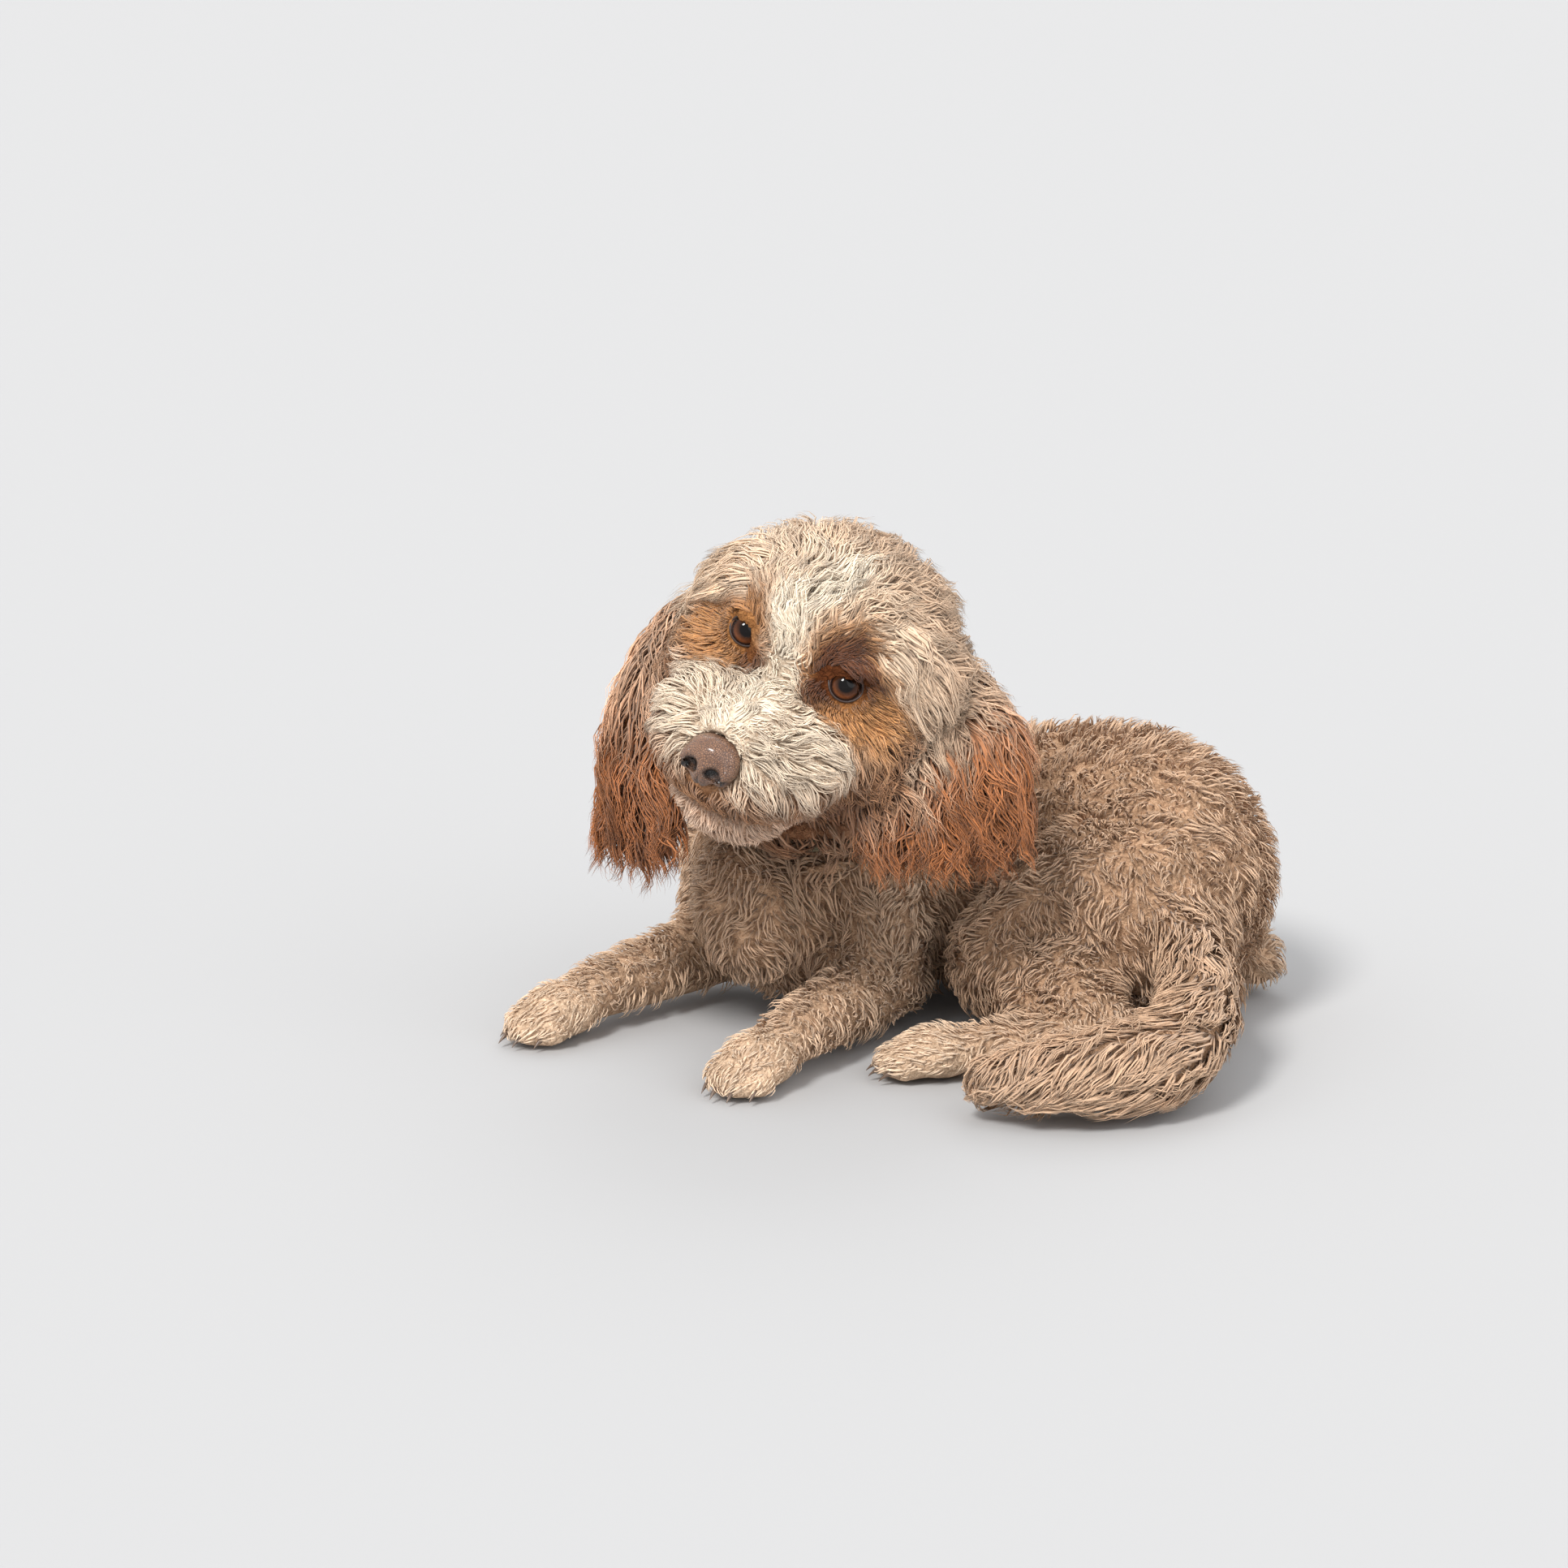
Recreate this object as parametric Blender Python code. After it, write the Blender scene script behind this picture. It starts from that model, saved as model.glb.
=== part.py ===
"""A small curly-coated dog lying on its chest, life size, looking up with its head tilted.

The solids are the outline of the coat, out to its tips, divided into the parts of the body.
Metres, +Z up. The dog lies along X with its rump at +X, and its face looks towards -Y.
The origin is on the floor, under the middle of the whole dog.
"""

import math

import bmesh
import bpy
from mathutils import Euler, Matrix, Vector

# ---- driving dimensions -------------------------------------------------------------------

MM = 0.001
GAP = 0.0005  # left between neighbouring solids
TRUNK_WIDTH = 0.154  # over the coat, at the ribs
BACK_HEIGHT = 0.166  # floor to the top of the back at the hips, lying down
EYE_SPACING = 0.065  # between the centres of the eyeballs
EYE_RADIUS = 0.0110
EYES_AT = Vector((-0.0150, -0.1178, 0.2450))  # midpoint between the eyeballs
HEAD_TURN = math.radians(-15.5)  # about the vertical, to the dog's right
HEAD_NOD = math.radians(13.5)  # muzzle down
HEAD_TILT = math.radians(22.0)  # crown leaning to the dog's left

# The head's own frame: origin between the eyeballs, +X the dog's left, -Y forward, +Z the crown.
HEAD = Matrix.Translation(EYES_AT) @ (
    Matrix.Rotation(HEAD_TURN, 4, "Z")
    @ Matrix.Rotation(HEAD_NOD, 4, "X")
    @ Matrix.Rotation(HEAD_TILT, 4, "Y")
)

COAT_COLOURS = {
    "coat_cream": (0.72, 0.56, 0.40),
    "coat_fawn": (0.56, 0.38, 0.24),
    "coat_rust": (0.42, 0.17, 0.06),
    "nose": (0.13, 0.065, 0.05),
    "eye": (0.06, 0.02, 0.01),
    "collar": (0.20, 0.18, 0.12),
}
ROUGHNESS = {"nose": 0.35, "eye": 0.05}


# ---- small modelling helpers --------------------------------------------------------------


def clear_scene():
    for obj in list(bpy.data.objects):
        bpy.data.objects.remove(obj)


def material(name):
    mat = bpy.data.materials.get(name)
    if mat is None:
        mat = bpy.data.materials.new(name)
        mat.use_nodes = True
        shader = mat.node_tree.nodes["Principled BSDF"]
        shader.inputs["Base Color"].default_value = (*COAT_COLOURS[name], 1.0)
        shader.inputs["Roughness"].default_value = ROUGHNESS.get(name, 0.85)
        shader.inputs["Metallic"].default_value = 0.0
    return mat


def from_bmesh(name, bm):
    mesh = bpy.data.meshes.new(name)
    bmesh.ops.recalc_face_normals(bm, faces=bm.faces)
    bm.to_mesh(mesh)
    bm.free()
    obj = bpy.data.objects.new(name, mesh)
    bpy.context.scene.collection.objects.link(obj)
    return obj


def ellipsoid(centre, radii, turn=(0, 0, 0), frame=Matrix.Identity(4), fineness=4):
    """An ellipsoid at centre, turned by Euler degrees, placed by frame."""
    bm = bmesh.new()
    bmesh.ops.create_icosphere(bm, subdivisions=fineness, radius=1.0)
    spin = Euler([math.radians(a) for a in turn]).to_matrix().to_4x4()
    place = frame @ Matrix.Translation(centre) @ spin @ Matrix.Diagonal((*radii, 1.0))
    bmesh.ops.transform(bm, matrix=place, verts=bm.verts)
    return from_bmesh("ellipsoid", bm)


def head_lump(centre, radii, turn=(0, 0, 0), fineness=4):
    """An ellipsoid in the head's frame, in millimetres."""
    return ellipsoid(Vector(centre) * MM, [r * MM for r in radii], turn, HEAD, fineness)


def through(stations, steps=5):
    """Stations (x, y, z, half width, half height) with a smooth Catmull-Rom curve run through them."""
    ends = [stations[0], *stations, stations[-1]]

    def between(p, q, r, s, t):
        bend = (2 * p - 5 * q + 4 * r - s) * t**2 + (3 * q - p - 3 * r + s) * t**3
        return 0.5 * (2 * q + (r - p) * t + bend)

    dense = []
    for window in zip(ends, ends[1:], ends[2:], ends[3:]):
        for i in range(steps):
            dense.append([between(*values, i / steps) for values in zip(*window)])
    dense.append(list(stations[-1]))
    return dense


def limb(stations, side=None, sides=24, end_rings=4):
    """A tube of oval cross-section through the stations, with round ends.

    Each station is (x, y, z, half width, half height). The width lies along side where that is
    given, and otherwise level with the floor.
    """
    dense = through(stations)
    points = [Vector(s[:3]) for s in dense]
    bm = bmesh.new()
    rings = []

    def add_ring(centre, tangent, half_width, half_height):
        across = (Vector(side) if side else tangent.cross(Vector((0, 0, 1)))).normalized()
        across = (across - tangent * across.dot(tangent)).normalized()
        upward = across.cross(tangent).normalized()
        wide, high = across * half_width, upward * half_height
        turns = [2 * math.pi * i / sides for i in range(sides)]
        rings.append([bm.verts.new(centre + wide * math.cos(a) + high * math.sin(a)) for a in turns])

    before, after = [points[0], *points[:-1]], [*points[1:], points[-1]]
    tangents = [(b - a).normalized() for a, b in zip(before, after)]
    for end in (0, -1):
        outward = -tangents[0] if end == 0 else tangents[-1]
        reach = min(dense[end][3:])
        angles = [math.pi / 2 * (k + 0.5) / end_rings for k in range(end_rings)]
        caps = [(points[end] + outward * reach * math.sin(a), math.cos(a)) for a in angles]
        if end == 0:
            for centre, shrink in reversed(caps):
                add_ring(centre, tangents[0], dense[0][3] * shrink, dense[0][4] * shrink)
            for centre, tangent, station in zip(points, tangents, dense):
                add_ring(centre, tangent, station[3], station[4])
        else:
            for centre, shrink in caps:
                add_ring(centre, tangents[-1], dense[-1][3] * shrink, dense[-1][4] * shrink)
    for lower, upper in zip(rings, rings[1:]):
        for i in range(sides):
            j = (i + 1) % sides
            bm.faces.new((lower[i], lower[j], upper[j], upper[i]))
    bm.faces.new(list(reversed(rings[0])))
    bm.faces.new(rings[-1])
    return from_bmesh("limb", bm)


def select_only(objects):
    bpy.ops.object.select_all(action="DESELECT")
    for obj in objects:
        obj.select_set(True)
    bpy.context.view_layer.objects.active = objects[0]


def apply_modifiers(obj):
    select_only([obj])
    bpy.ops.object.convert(target="MESH")


def fused(name, pieces, voxel, smooth=4, triangles=None):
    """The pieces melted into one closed surface, smoothed and thinned to about that many triangles."""
    select_only(pieces)
    if len(pieces) > 1:
        bpy.ops.object.join()
    obj = pieces[0]
    obj.name = name
    melt = obj.modifiers.new("melt", "REMESH")
    melt.mode = "VOXEL"
    melt.voxel_size = voxel
    if smooth:
        soften = obj.modifiers.new("soften", "SMOOTH")
        soften.factor = 0.5
        soften.iterations = smooth
    apply_modifiers(obj)
    count = sum(len(p.vertices) - 2 for p in obj.data.polygons)
    if triangles and triangles < count:
        thin = obj.modifiers.new("thin", "DECIMATE")
        thin.ratio = triangles / count
        apply_modifiers(obj)
    return obj


def is_closed(mesh):
    """Whether the mesh has faces, and each of its edges joins exactly two of them."""
    bm = bmesh.new()
    bm.from_mesh(mesh)
    closed = len(bm.faces) > 0 and all(edge.is_manifold for edge in bm.edges)
    bm.free()
    return closed


def cut_away(obj, cutter, keep_cutter=False):
    """Takes the cutter out of obj, with the manifold solver where the exact one leaves an open mesh."""
    uncut = obj.data
    for solver in ("EXACT", "MANIFOLD"):
        obj.data = uncut.copy()
        cut = obj.modifiers.new("cut", "BOOLEAN")
        cut.operation = "DIFFERENCE"
        cut.solver = solver
        cut.object = cutter
        apply_modifiers(obj)
        if is_closed(obj.data):
            break
    if not keep_cutter:
        bpy.data.objects.remove(cutter)


def copy_of(obj, grow=0.0):
    """A copy of obj, grown outwards along its normals."""
    twin = obj.copy()
    twin.data = obj.data.copy()
    bpy.context.scene.collection.objects.link(twin)
    if grow:
        swell = twin.modifiers.new("swell", "DISPLACE")
        swell.strength = grow
        swell.mid_level = 0.0
        apply_modifiers(twin)
    return twin


def corners(obj):
    points = [v.co for v in obj.data.vertices]
    return [min(p[i] for p in points) for i in range(3)], [max(p[i] for p in points) for i in range(3)]


def boxes_meet(one, other):
    (low_a, high_a), (low_b, high_b) = corners(one), corners(other)
    return all(low_a[i] < high_b[i] + GAP and low_b[i] < high_a[i] + GAP for i in range(3))


def fit_together(objects):
    """Cuts each object back from all those before it, as they were when whole, and leaves the gap."""
    grown = [copy_of(obj, 1.6 * GAP) for obj in objects]  # more than the gap, as corners move less
    for i, obj in enumerate(objects):
        for neighbour in grown[:i]:
            if boxes_meet(obj, neighbour):
                cut_away(obj, neighbour, keep_cutter=True)
    for cutter in grown:
        bpy.data.objects.remove(cutter)


def rest_on_floor(obj):
    """Cuts off what lies below the floor, which leaves a flat where the dog touches it."""
    bm = bmesh.new()
    bmesh.ops.create_cube(bm, size=1.0)
    bmesh.ops.translate(bm, vec=(0, 0, -0.5), verts=bm.verts)
    cut_away(obj, from_bmesh("below_floor", bm))


def loose_shells(obj):
    """Splits obj into its loose shells, the one with most points first."""
    select_only([obj])
    bpy.ops.object.mode_set(mode="EDIT")
    bpy.ops.mesh.select_all(action="SELECT")
    bpy.ops.mesh.separate(type="LOOSE")
    bpy.ops.object.mode_set(mode="OBJECT")
    return sorted(bpy.context.selected_objects, key=lambda o: -len(o.data.vertices))


def parted(obj, at, towards, radius, near, far):
    """Parts obj by a thin disc across it. The solid on the side that towards points to is called far."""
    at, towards = Vector(at), Vector(towards).normalized()
    bm = bmesh.new()
    bmesh.ops.create_cone(bm, cap_ends=True, segments=32, radius1=radius, radius2=radius, depth=GAP)
    facing = towards.to_track_quat("Z", "Y").to_matrix().to_4x4()
    bmesh.ops.transform(bm, matrix=Matrix.Translation(at) @ facing, verts=bm.verts)
    cut_away(obj, from_bmesh("blade", bm))
    shells = loose_shells(obj)
    for crumb in shells[2:]:
        bpy.data.objects.remove(crumb)
    halves = sorted(shells[:2], key=lambda o: sum((v.co - at).dot(towards) for v in o.data.vertices))
    for half in halves:
        half.name = "half"
    for half, name in zip(halves, (near, far)):
        half.name = name
    return halves


def finish(obj, colour, sharp=35):
    """Only the largest shell of obj, in its material and shaded smooth."""
    name = obj.name
    whole, *crumbs = loose_shells(obj)
    for crumb in crumbs:
        bpy.data.objects.remove(crumb)
    whole.name = name
    whole.data.materials.clear()
    whole.data.materials.append(material(colour))
    whole.data.shade_smooth()
    whole.data.set_sharp_from_angle(angle=math.radians(sharp))
    return whole


# ---- the head -----------------------------------------------------------------------------


def make_skull():
    """Crown, brows, cheeks, muzzle and chin, as one outline of the coat."""
    lumps = [
        head_lump((0, 42, 2), (70, 62, 49)),  # crown
        head_lump((0, 60, -14), (62, 48, 46)),  # back of the head
        head_lump((0, 0, 13), (36, 17, 24)),  # forehead above the stop
        head_lump((0, -36, -25), (28, 40, 18)),  # bridge of the muzzle
        head_lump((-1, -42, -43), (52, 38, 27)),  # upper lips
        head_lump((0, -36, -73), (37, 33, 25)),  # chin
        head_lump((0, 12, -66), (54, 52, 34)),  # lower jaw and throat
    ]
    for side in (-1, 1):
        lumps += [
            head_lump((side * 29, -4, 18), (18, 12, 11), (0, side * 18, side * -15)),  # brow
            head_lump((side * 42, 18, -34), (36, 42, 40)),  # cheek
            head_lump((side * 31, -31, -39), (27, 32, 25), (0, 0, side * 20)),  # flew
            head_lump((side * 58, 42, -10), (24, 34, 30)),  # hair over the root of the ear
        ]
    return fused("head", lumps, voxel=0.0035, smooth=5, triangles=680)


def hollow_eye_sockets(head):
    for side in (-1, 1):
        cut_away(head, head_lump((side * 34, -19, 0), (15, 14, 12.5), (0, side * 10, side * 25), 2))


def make_eye(side, name):
    bm = bmesh.new()
    bmesh.ops.create_uvsphere(bm, u_segments=12, v_segments=8, radius=EYE_RADIUS)
    place = HEAD @ Matrix.Translation((side * EYE_SPACING / 2, 0, 0))
    bmesh.ops.transform(bm, matrix=place, verts=bm.verts)
    eye = from_bmesh(name, bm)
    return eye


def make_nose():
    """The bare nose, with its two wings, nostrils and the groove below them."""
    lumps = [
        head_lump((0, -70, -29), (15.5, 12, 11)),
        head_lump((0, -77, -35), (8, 8, 10)),
    ]
    for side in (-1, 1):
        lumps.append(head_lump((side * 10, -74, -33), (7, 9, 8)))
    nose = fused("nose", lumps, voxel=0.0012, smooth=4, triangles=210)
    for side in (-1, 1):
        cut_away(nose, head_lump((side * 8, -84, -34), (3.4, 7, 3.2), (0, side * -25, side * -18), 2))
    return nose


def make_ear(name, stations, broad_along):
    """A hanging ear with its long hair, as one flat drop."""
    return fused(name, [limb(stations, side=broad_along)], voxel=0.004, smooth=3, triangles=210)


LEFT_EAR = [
    # x, y, z, half breadth, half thickness
    (0.036, -0.050, 0.238, 0.016, 0.011),
    (0.056, -0.064, 0.217, 0.026, 0.015),
    (0.067, -0.077, 0.195, 0.038, 0.018),
    (0.064, -0.085, 0.174, 0.047, 0.018),
    (0.060, -0.090, 0.158, 0.054, 0.016),
    (0.060, -0.091, 0.146, 0.053, 0.012),
]
RIGHT_EAR = [
    (-0.092, -0.064, 0.262, 0.012, 0.010),
    (-0.105, -0.074, 0.238, 0.020, 0.014),
    (-0.114, -0.083, 0.208, 0.024, 0.017),
    (-0.116, -0.090, 0.176, 0.030, 0.018),
    (-0.113, -0.096, 0.148, 0.039, 0.017),
    (-0.112, -0.099, 0.134, 0.041, 0.012),
]
LEFT_EAR_BROAD = (0.86, 0.50, 0)
RIGHT_EAR_BROAD = (-0.80, 0.60, 0)


# ---- the body -----------------------------------------------------------------------------


def spine_station(x, y, width_share, top_share, bottom=-0.003):
    """A station of the trunk: its width and its height are shares of the ribs' and the back's."""
    top = BACK_HEIGHT * top_share
    return (x, y, (top + bottom) / 2, TRUNK_WIDTH / 2 * width_share, (top - bottom) / 2)


TRUNK = [
    spine_station(-0.072, -0.012, 0.56, 0.75, bottom=0.024),  # front of the chest
    spine_station(-0.062, 0.026, 0.90, 0.93),  # shoulders
    spine_station(-0.036, 0.070, 1.00, 0.95),
    spine_station(0.006, 0.106, 1.00, 0.94),  # ribs
    spine_station(0.058, 0.122, 0.94, 0.95),  # loin
    spine_station(0.108, 0.108, 1.00, 1.00),  # hips
    spine_station(0.137, 0.074, 0.95, 0.97),
    spine_station(0.146, 0.036, 0.66, 0.80, bottom=0.010),  # buttocks
]


def make_trunk():
    """Chest, belly and rump, curled towards the dog's left."""
    return fused("trunk", [limb(TRUNK)], voxel=0.006, smooth=4, triangles=500)


NECK = [
    (-0.060, 0.045, 0.092, 0.064, 0.066),
    (-0.050, 0.014, 0.142, 0.061, 0.062),
    (-0.036, -0.014, 0.186, 0.057, 0.058),
    (-0.022, -0.040, 0.224, 0.052, 0.052),
]
COLLAR_AT = Vector((-0.0500, 0.012, 0.146))
COLLAR_FACING = Vector((0.20, -0.55, 0.81)).to_track_quat("Z", "Y").to_matrix().to_4x4()
COLLAR_RADIUS = 0.0475
COLLAR_THICKNESS = 0.003
COLLAR_WIDTH = 0.018
GROOVE_DEPTH = 0.05  # out through the coat on every side


def make_neck():
    return fused("neck", [limb(NECK, side=(1, 0.1, 0))], voxel=0.005, smooth=3, triangles=200)


def ring(name, inner, outer, width, segments=24):
    """A flat band of that inner and outer radius, lying where the collar lies."""
    profile = [(inner, -width / 2), (outer, -width / 2), (outer, width / 2), (inner, width / 2)]
    bm = bmesh.new()
    rounds = []
    for i in range(segments):
        a = 2 * math.pi * i / segments
        rounds.append([bm.verts.new((r * math.cos(a), r * math.sin(a), h)) for r, h in profile])
    for section, following in zip(rounds, rounds[1:] + rounds[:1]):
        for k in range(4):
            m = (k + 1) % 4
            bm.faces.new((section[k], section[m], following[m], following[k]))
    bmesh.ops.transform(bm, matrix=Matrix.Translation(COLLAR_AT) @ COLLAR_FACING, verts=bm.verts)
    return from_bmesh(name, bm)


def make_collar():
    return ring("collar", COLLAR_RADIUS, COLLAR_RADIUS + COLLAR_THICKNESS, COLLAR_WIDTH)


def press_in_collar(*coats):
    """The groove that the collar presses into the coat, all the way out."""
    for coat in coats:
        groove = ring("groove", COLLAR_RADIUS - GAP, COLLAR_RADIUS + GROOVE_DEPTH, COLLAR_WIDTH + 2 * GAP)
        cut_away(coat, groove)


def make_paw(at, heading, size=1.0):
    """A paw with four toes, pointing along heading."""
    turn = math.atan2(heading.x, -heading.y)
    place = Matrix.Translation(at) @ Matrix.Rotation(turn, 4, "Z") @ Matrix.Scale(size, 4)
    pieces = [ellipsoid((0, 0.004, 0.016), (0.023, 0.028, 0.018), frame=place)]
    for across, ahead in ((-0.0155, -0.016), (-0.0055, -0.024), (0.0055, -0.024), (0.0155, -0.016)):
        pieces.append(ellipsoid((across, ahead, 0.010), (0.0078, 0.013, 0.0115), frame=place))
    return pieces


def lay_paw(name, wrist, heading, size=1.0):
    """A paw of its own, with its wrist at that point and its pads on the floor."""
    middle = wrist + heading * 0.026 * size
    middle.z = 0
    return fused(name, make_paw(middle, heading, size), voxel=0.0024, smooth=2, triangles=200)


LEFT_FORELEG = {
    "shoulder": (-0.014, 0.018, 0.085),
    "elbow": (-0.002, 0.008, 0.028),
    "wrist": (-0.030, -0.094, 0.020),
}
RIGHT_FORELEG = {
    "shoulder": (-0.106, 0.054, 0.085),
    "elbow": (-0.114, 0.052, 0.028),
    "wrist": (-0.162, -0.044, 0.020),
}
LEFT_HIND_LEG = {
    "hip": (0.118, 0.034, 0.080),
    "knee": (0.066, 0.004, 0.047),
    "hock": (0.146, -0.036, 0.022),
    "toes": (0.072, -0.062, 0.018),
}
RIGHT_HIND_LEG = {
    "hip": (0.142, 0.096, 0.080),
    "knee": (0.094, 0.160, 0.047),
    "hock": (0.180, 0.138, 0.022),
    "toes": (0.120, 0.192, 0.018),
}


def level_heading(start, end):
    way = Vector(end) - Vector(start)
    way.z = 0
    return way.normalized()


def make_foreleg(side, shoulder, elbow, wrist):
    """Upper arm and forearm in one, with the paw laid flat in front of them."""
    elbow, wrist, shoulder = Vector(elbow), Vector(wrist), Vector(shoulder)
    heading = level_heading(elbow, wrist)
    upper_arm, forearm = elbow.lerp(shoulder, 0.45), elbow.lerp(wrist, 0.5)
    pieces = [
        limb([(*shoulder, 0.034, 0.038), (*upper_arm, 0.031, 0.034), (*elbow, 0.026, 0.028)]),
        limb([(*elbow, 0.026, 0.028), (*forearm, 0.023, 0.025), (*wrist, 0.021, 0.021)]),
    ]
    leg = fused(f"foreleg_{side}", pieces, voxel=0.003, smooth=3, triangles=200)
    paw = lay_paw(f"forepaw_{side}", wrist, heading)
    return paw, leg


def make_hind_leg(side, hip, knee, hock, toes):
    """Thigh and shank folded into one mass, and the long hind foot flat on the floor before the hock."""
    hip, knee, hock, toes = Vector(hip), Vector(knee), Vector(hock), Vector(toes)
    heading = level_heading(hock, toes)
    thigh_pieces = [
        limb([(*hip, 0.046, 0.056), (*hip.lerp(knee, 0.5), 0.043, 0.052), (*knee, 0.033, 0.038)]),
        limb([(*knee, 0.032, 0.036), (*knee.lerp(hock, 0.5), 0.029, 0.031), (*hock, 0.021, 0.024)]),
    ]
    thigh = fused(f"thigh_{side}", thigh_pieces, voxel=0.0035, smooth=8, triangles=240)
    instep = hock.lerp(toes, 0.5)
    foot = limb([(*hock, 0.020, 0.022), (*instep, 0.019, 0.020), (*toes, 0.018, 0.018)])
    hock_joint = fused(f"hindleg_{side}", [foot], voxel=0.003, smooth=2, triangles=140)
    paw = lay_paw(f"hindpaw_{side}", toes, heading, size=0.95)
    return paw, hock_joint, thigh


def make_tail():
    """The feathered tail, laid forwards along the floor before the near hind foot."""
    stations = [
        (0.152, 0.020, 0.088, 0.018, 0.018),
        (0.180, -0.012, 0.068, 0.022, 0.022),
        (0.194, -0.052, 0.044, 0.026, 0.026),
        (0.181, -0.094, 0.030, 0.029, 0.028),
        (0.143, -0.122, 0.026, 0.029, 0.027),
        (0.100, -0.130, 0.021, 0.018, 0.018),
    ]
    tail = fused("tail", [limb(stations)], voxel=0.004, smooth=3, triangles=240)
    return tail


# ---- putting the dog together -------------------------------------------------------------


def make_dog():
    head = make_skull()
    hollow_eye_sockets(head)
    nose = make_nose()
    eyes = [make_eye(1, "eye_left"), make_eye(-1, "eye_right")]
    legs = [
        *make_foreleg("left", **LEFT_FORELEG),
        *make_foreleg("right", **RIGHT_FORELEG),
        *make_hind_leg("left", **LEFT_HIND_LEG),
        *make_hind_leg("right", **RIGHT_HIND_LEG),
    ]
    neck = make_neck()
    trunk = make_trunk()
    chest, hind_part = parted(trunk, TRUNK[3][:3], (0.90, 0.43, 0), 0.2, "chest", "hind_part")
    belly, rump = parted(hind_part, (0.078, 0.120, 0.080), (0.95, -0.30, 0), 0.2, "belly", "rump")
    collar = make_collar()
    press_in_collar(head, neck, chest)
    tail = make_tail()
    left_ear = make_ear("ear_left", LEFT_EAR, LEFT_EAR_BROAD)
    right_ear = make_ear("ear_right", RIGHT_EAR, RIGHT_EAR_BROAD)
    ears = [left_ear, right_ear]
    fit_together([nose, *eyes, collar, head, *legs, neck, chest, belly, rump, tail, *ears])
    for obj in (*legs, chest, belly, rump, tail):
        rest_on_floor(obj)

    muzzle_cut = HEAD @ Vector((0, -14 * MM, -30 * MM))
    muzzle_way = HEAD.to_3x3() @ Vector((0, -0.94, -0.34))
    head, muzzle = parted(head, muzzle_cut, muzzle_way, 0.085, "head", "muzzle")
    tail_cut = (0.190, -0.072, 0.038)
    tail_base, tail_tip = parted(tail, tail_cut, (-0.35, -1, -0.3), 0.045, "tail_base", "tail_tip")

    painted = {
        "coat_cream": [head, muzzle],
        "coat_fawn": [neck, chest, belly, rump, tail_base, tail_tip, *legs],
        "coat_rust": ears,
        "nose": [nose],
        "eye": eyes,
        "collar": [collar],
    }
    for colour, objects in painted.items():
        for obj in objects:
            finish(obj, colour)


def centre_on_floor():
    """Moves the dog so that the origin is on the floor, under the middle of its bounding box."""
    boxes = [corners(obj) for obj in bpy.data.objects]
    low = [min(box[0][i] for box in boxes) for i in range(3)]
    high = [max(box[1][i] for box in boxes) for i in range(3)]
    middle = Vector(((low[0] + high[0]) / 2, (low[1] + high[1]) / 2, low[2]))
    for obj in bpy.data.objects:
        obj.data.transform(Matrix.Translation(-middle))
        obj.data.update()


clear_scene()
make_dog()
centre_on_floor()
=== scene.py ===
import math

import bpy
import numpy as np
from mathutils import Matrix, Vector, noise
from mathutils.kdtree import KDTree


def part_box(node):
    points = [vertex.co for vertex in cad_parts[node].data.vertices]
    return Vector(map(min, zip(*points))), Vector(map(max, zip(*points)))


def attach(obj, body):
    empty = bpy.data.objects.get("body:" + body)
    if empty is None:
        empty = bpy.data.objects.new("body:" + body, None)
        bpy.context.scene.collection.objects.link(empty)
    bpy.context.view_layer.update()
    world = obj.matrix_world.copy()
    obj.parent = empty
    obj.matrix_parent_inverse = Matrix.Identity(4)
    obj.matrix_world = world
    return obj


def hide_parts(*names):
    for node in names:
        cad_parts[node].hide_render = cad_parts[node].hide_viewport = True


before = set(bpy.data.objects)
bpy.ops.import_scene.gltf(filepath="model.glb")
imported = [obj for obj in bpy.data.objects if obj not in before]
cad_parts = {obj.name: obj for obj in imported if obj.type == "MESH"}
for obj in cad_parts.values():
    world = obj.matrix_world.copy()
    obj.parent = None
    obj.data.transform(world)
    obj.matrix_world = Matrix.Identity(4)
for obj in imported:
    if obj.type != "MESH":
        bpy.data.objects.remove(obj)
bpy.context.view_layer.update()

MM = 0.001
rng = np.random.default_rng(11)

FLESH = (
    "head", "muzzle", "ear_left", "ear_right", "neck", "chest", "belly", "rump", "tail_base", "tail_tip",
    "foreleg_left", "foreleg_right", "forepaw_left", "forepaw_right", "thigh_left", "thigh_right",
    "hindleg_left", "hindleg_right", "hindpaw_left", "hindpaw_right",
)

# The coat's depth over the skin by part, in millimetres.
COAT_DEPTH = {
    "head": 11.0, "muzzle": 6.5, "ear": 6.5, "neck": 10.0, "chest": 8.5, "belly": 8.5, "rump": 8.5,
    "tail": 8.0, "foreleg": 6.5, "thigh": 7.5, "hindleg": 6.0, "forepaw": 3.0, "hindpaw": 3.0,
}
JOIN_SWELL, JOIN_VOXEL, SKIN_VOXEL, NOSE_VOXEL = 0.0011, 0.003, 0.0026, 0.0008
SKIN_FLOOR_GAP, LOCK_FLOOR_GAP, CLAW_FLOOR_GAP = 0.0004, 0.0012, 0.0005
EYE_FILL_RADIUS = 0.0122

# Places on the head, in millimetres from the midpoint of the eyes: x to the dog's left, y backwards, z up.
MOUTH_DROP = 62.0
EYE_SPREAD = 32.5
NOSE_MIDDLE = np.array([0.0, -73.0, -32.0])

# The spot the dog looks at and where the camera stands, from the midpoint of the eyes, in metres.
LOOK_OFFSET = (0.893, -2.674, 0.72)
CAMERA_OFFSET = (0.893, -2.6742, 0.680)
CAMERA_TURN, CAMERA_TIP = math.radians(18.6), math.radians(14.9)
CAMERA_LENS, CAMERA_SENSOR = 123.95, 36


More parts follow.
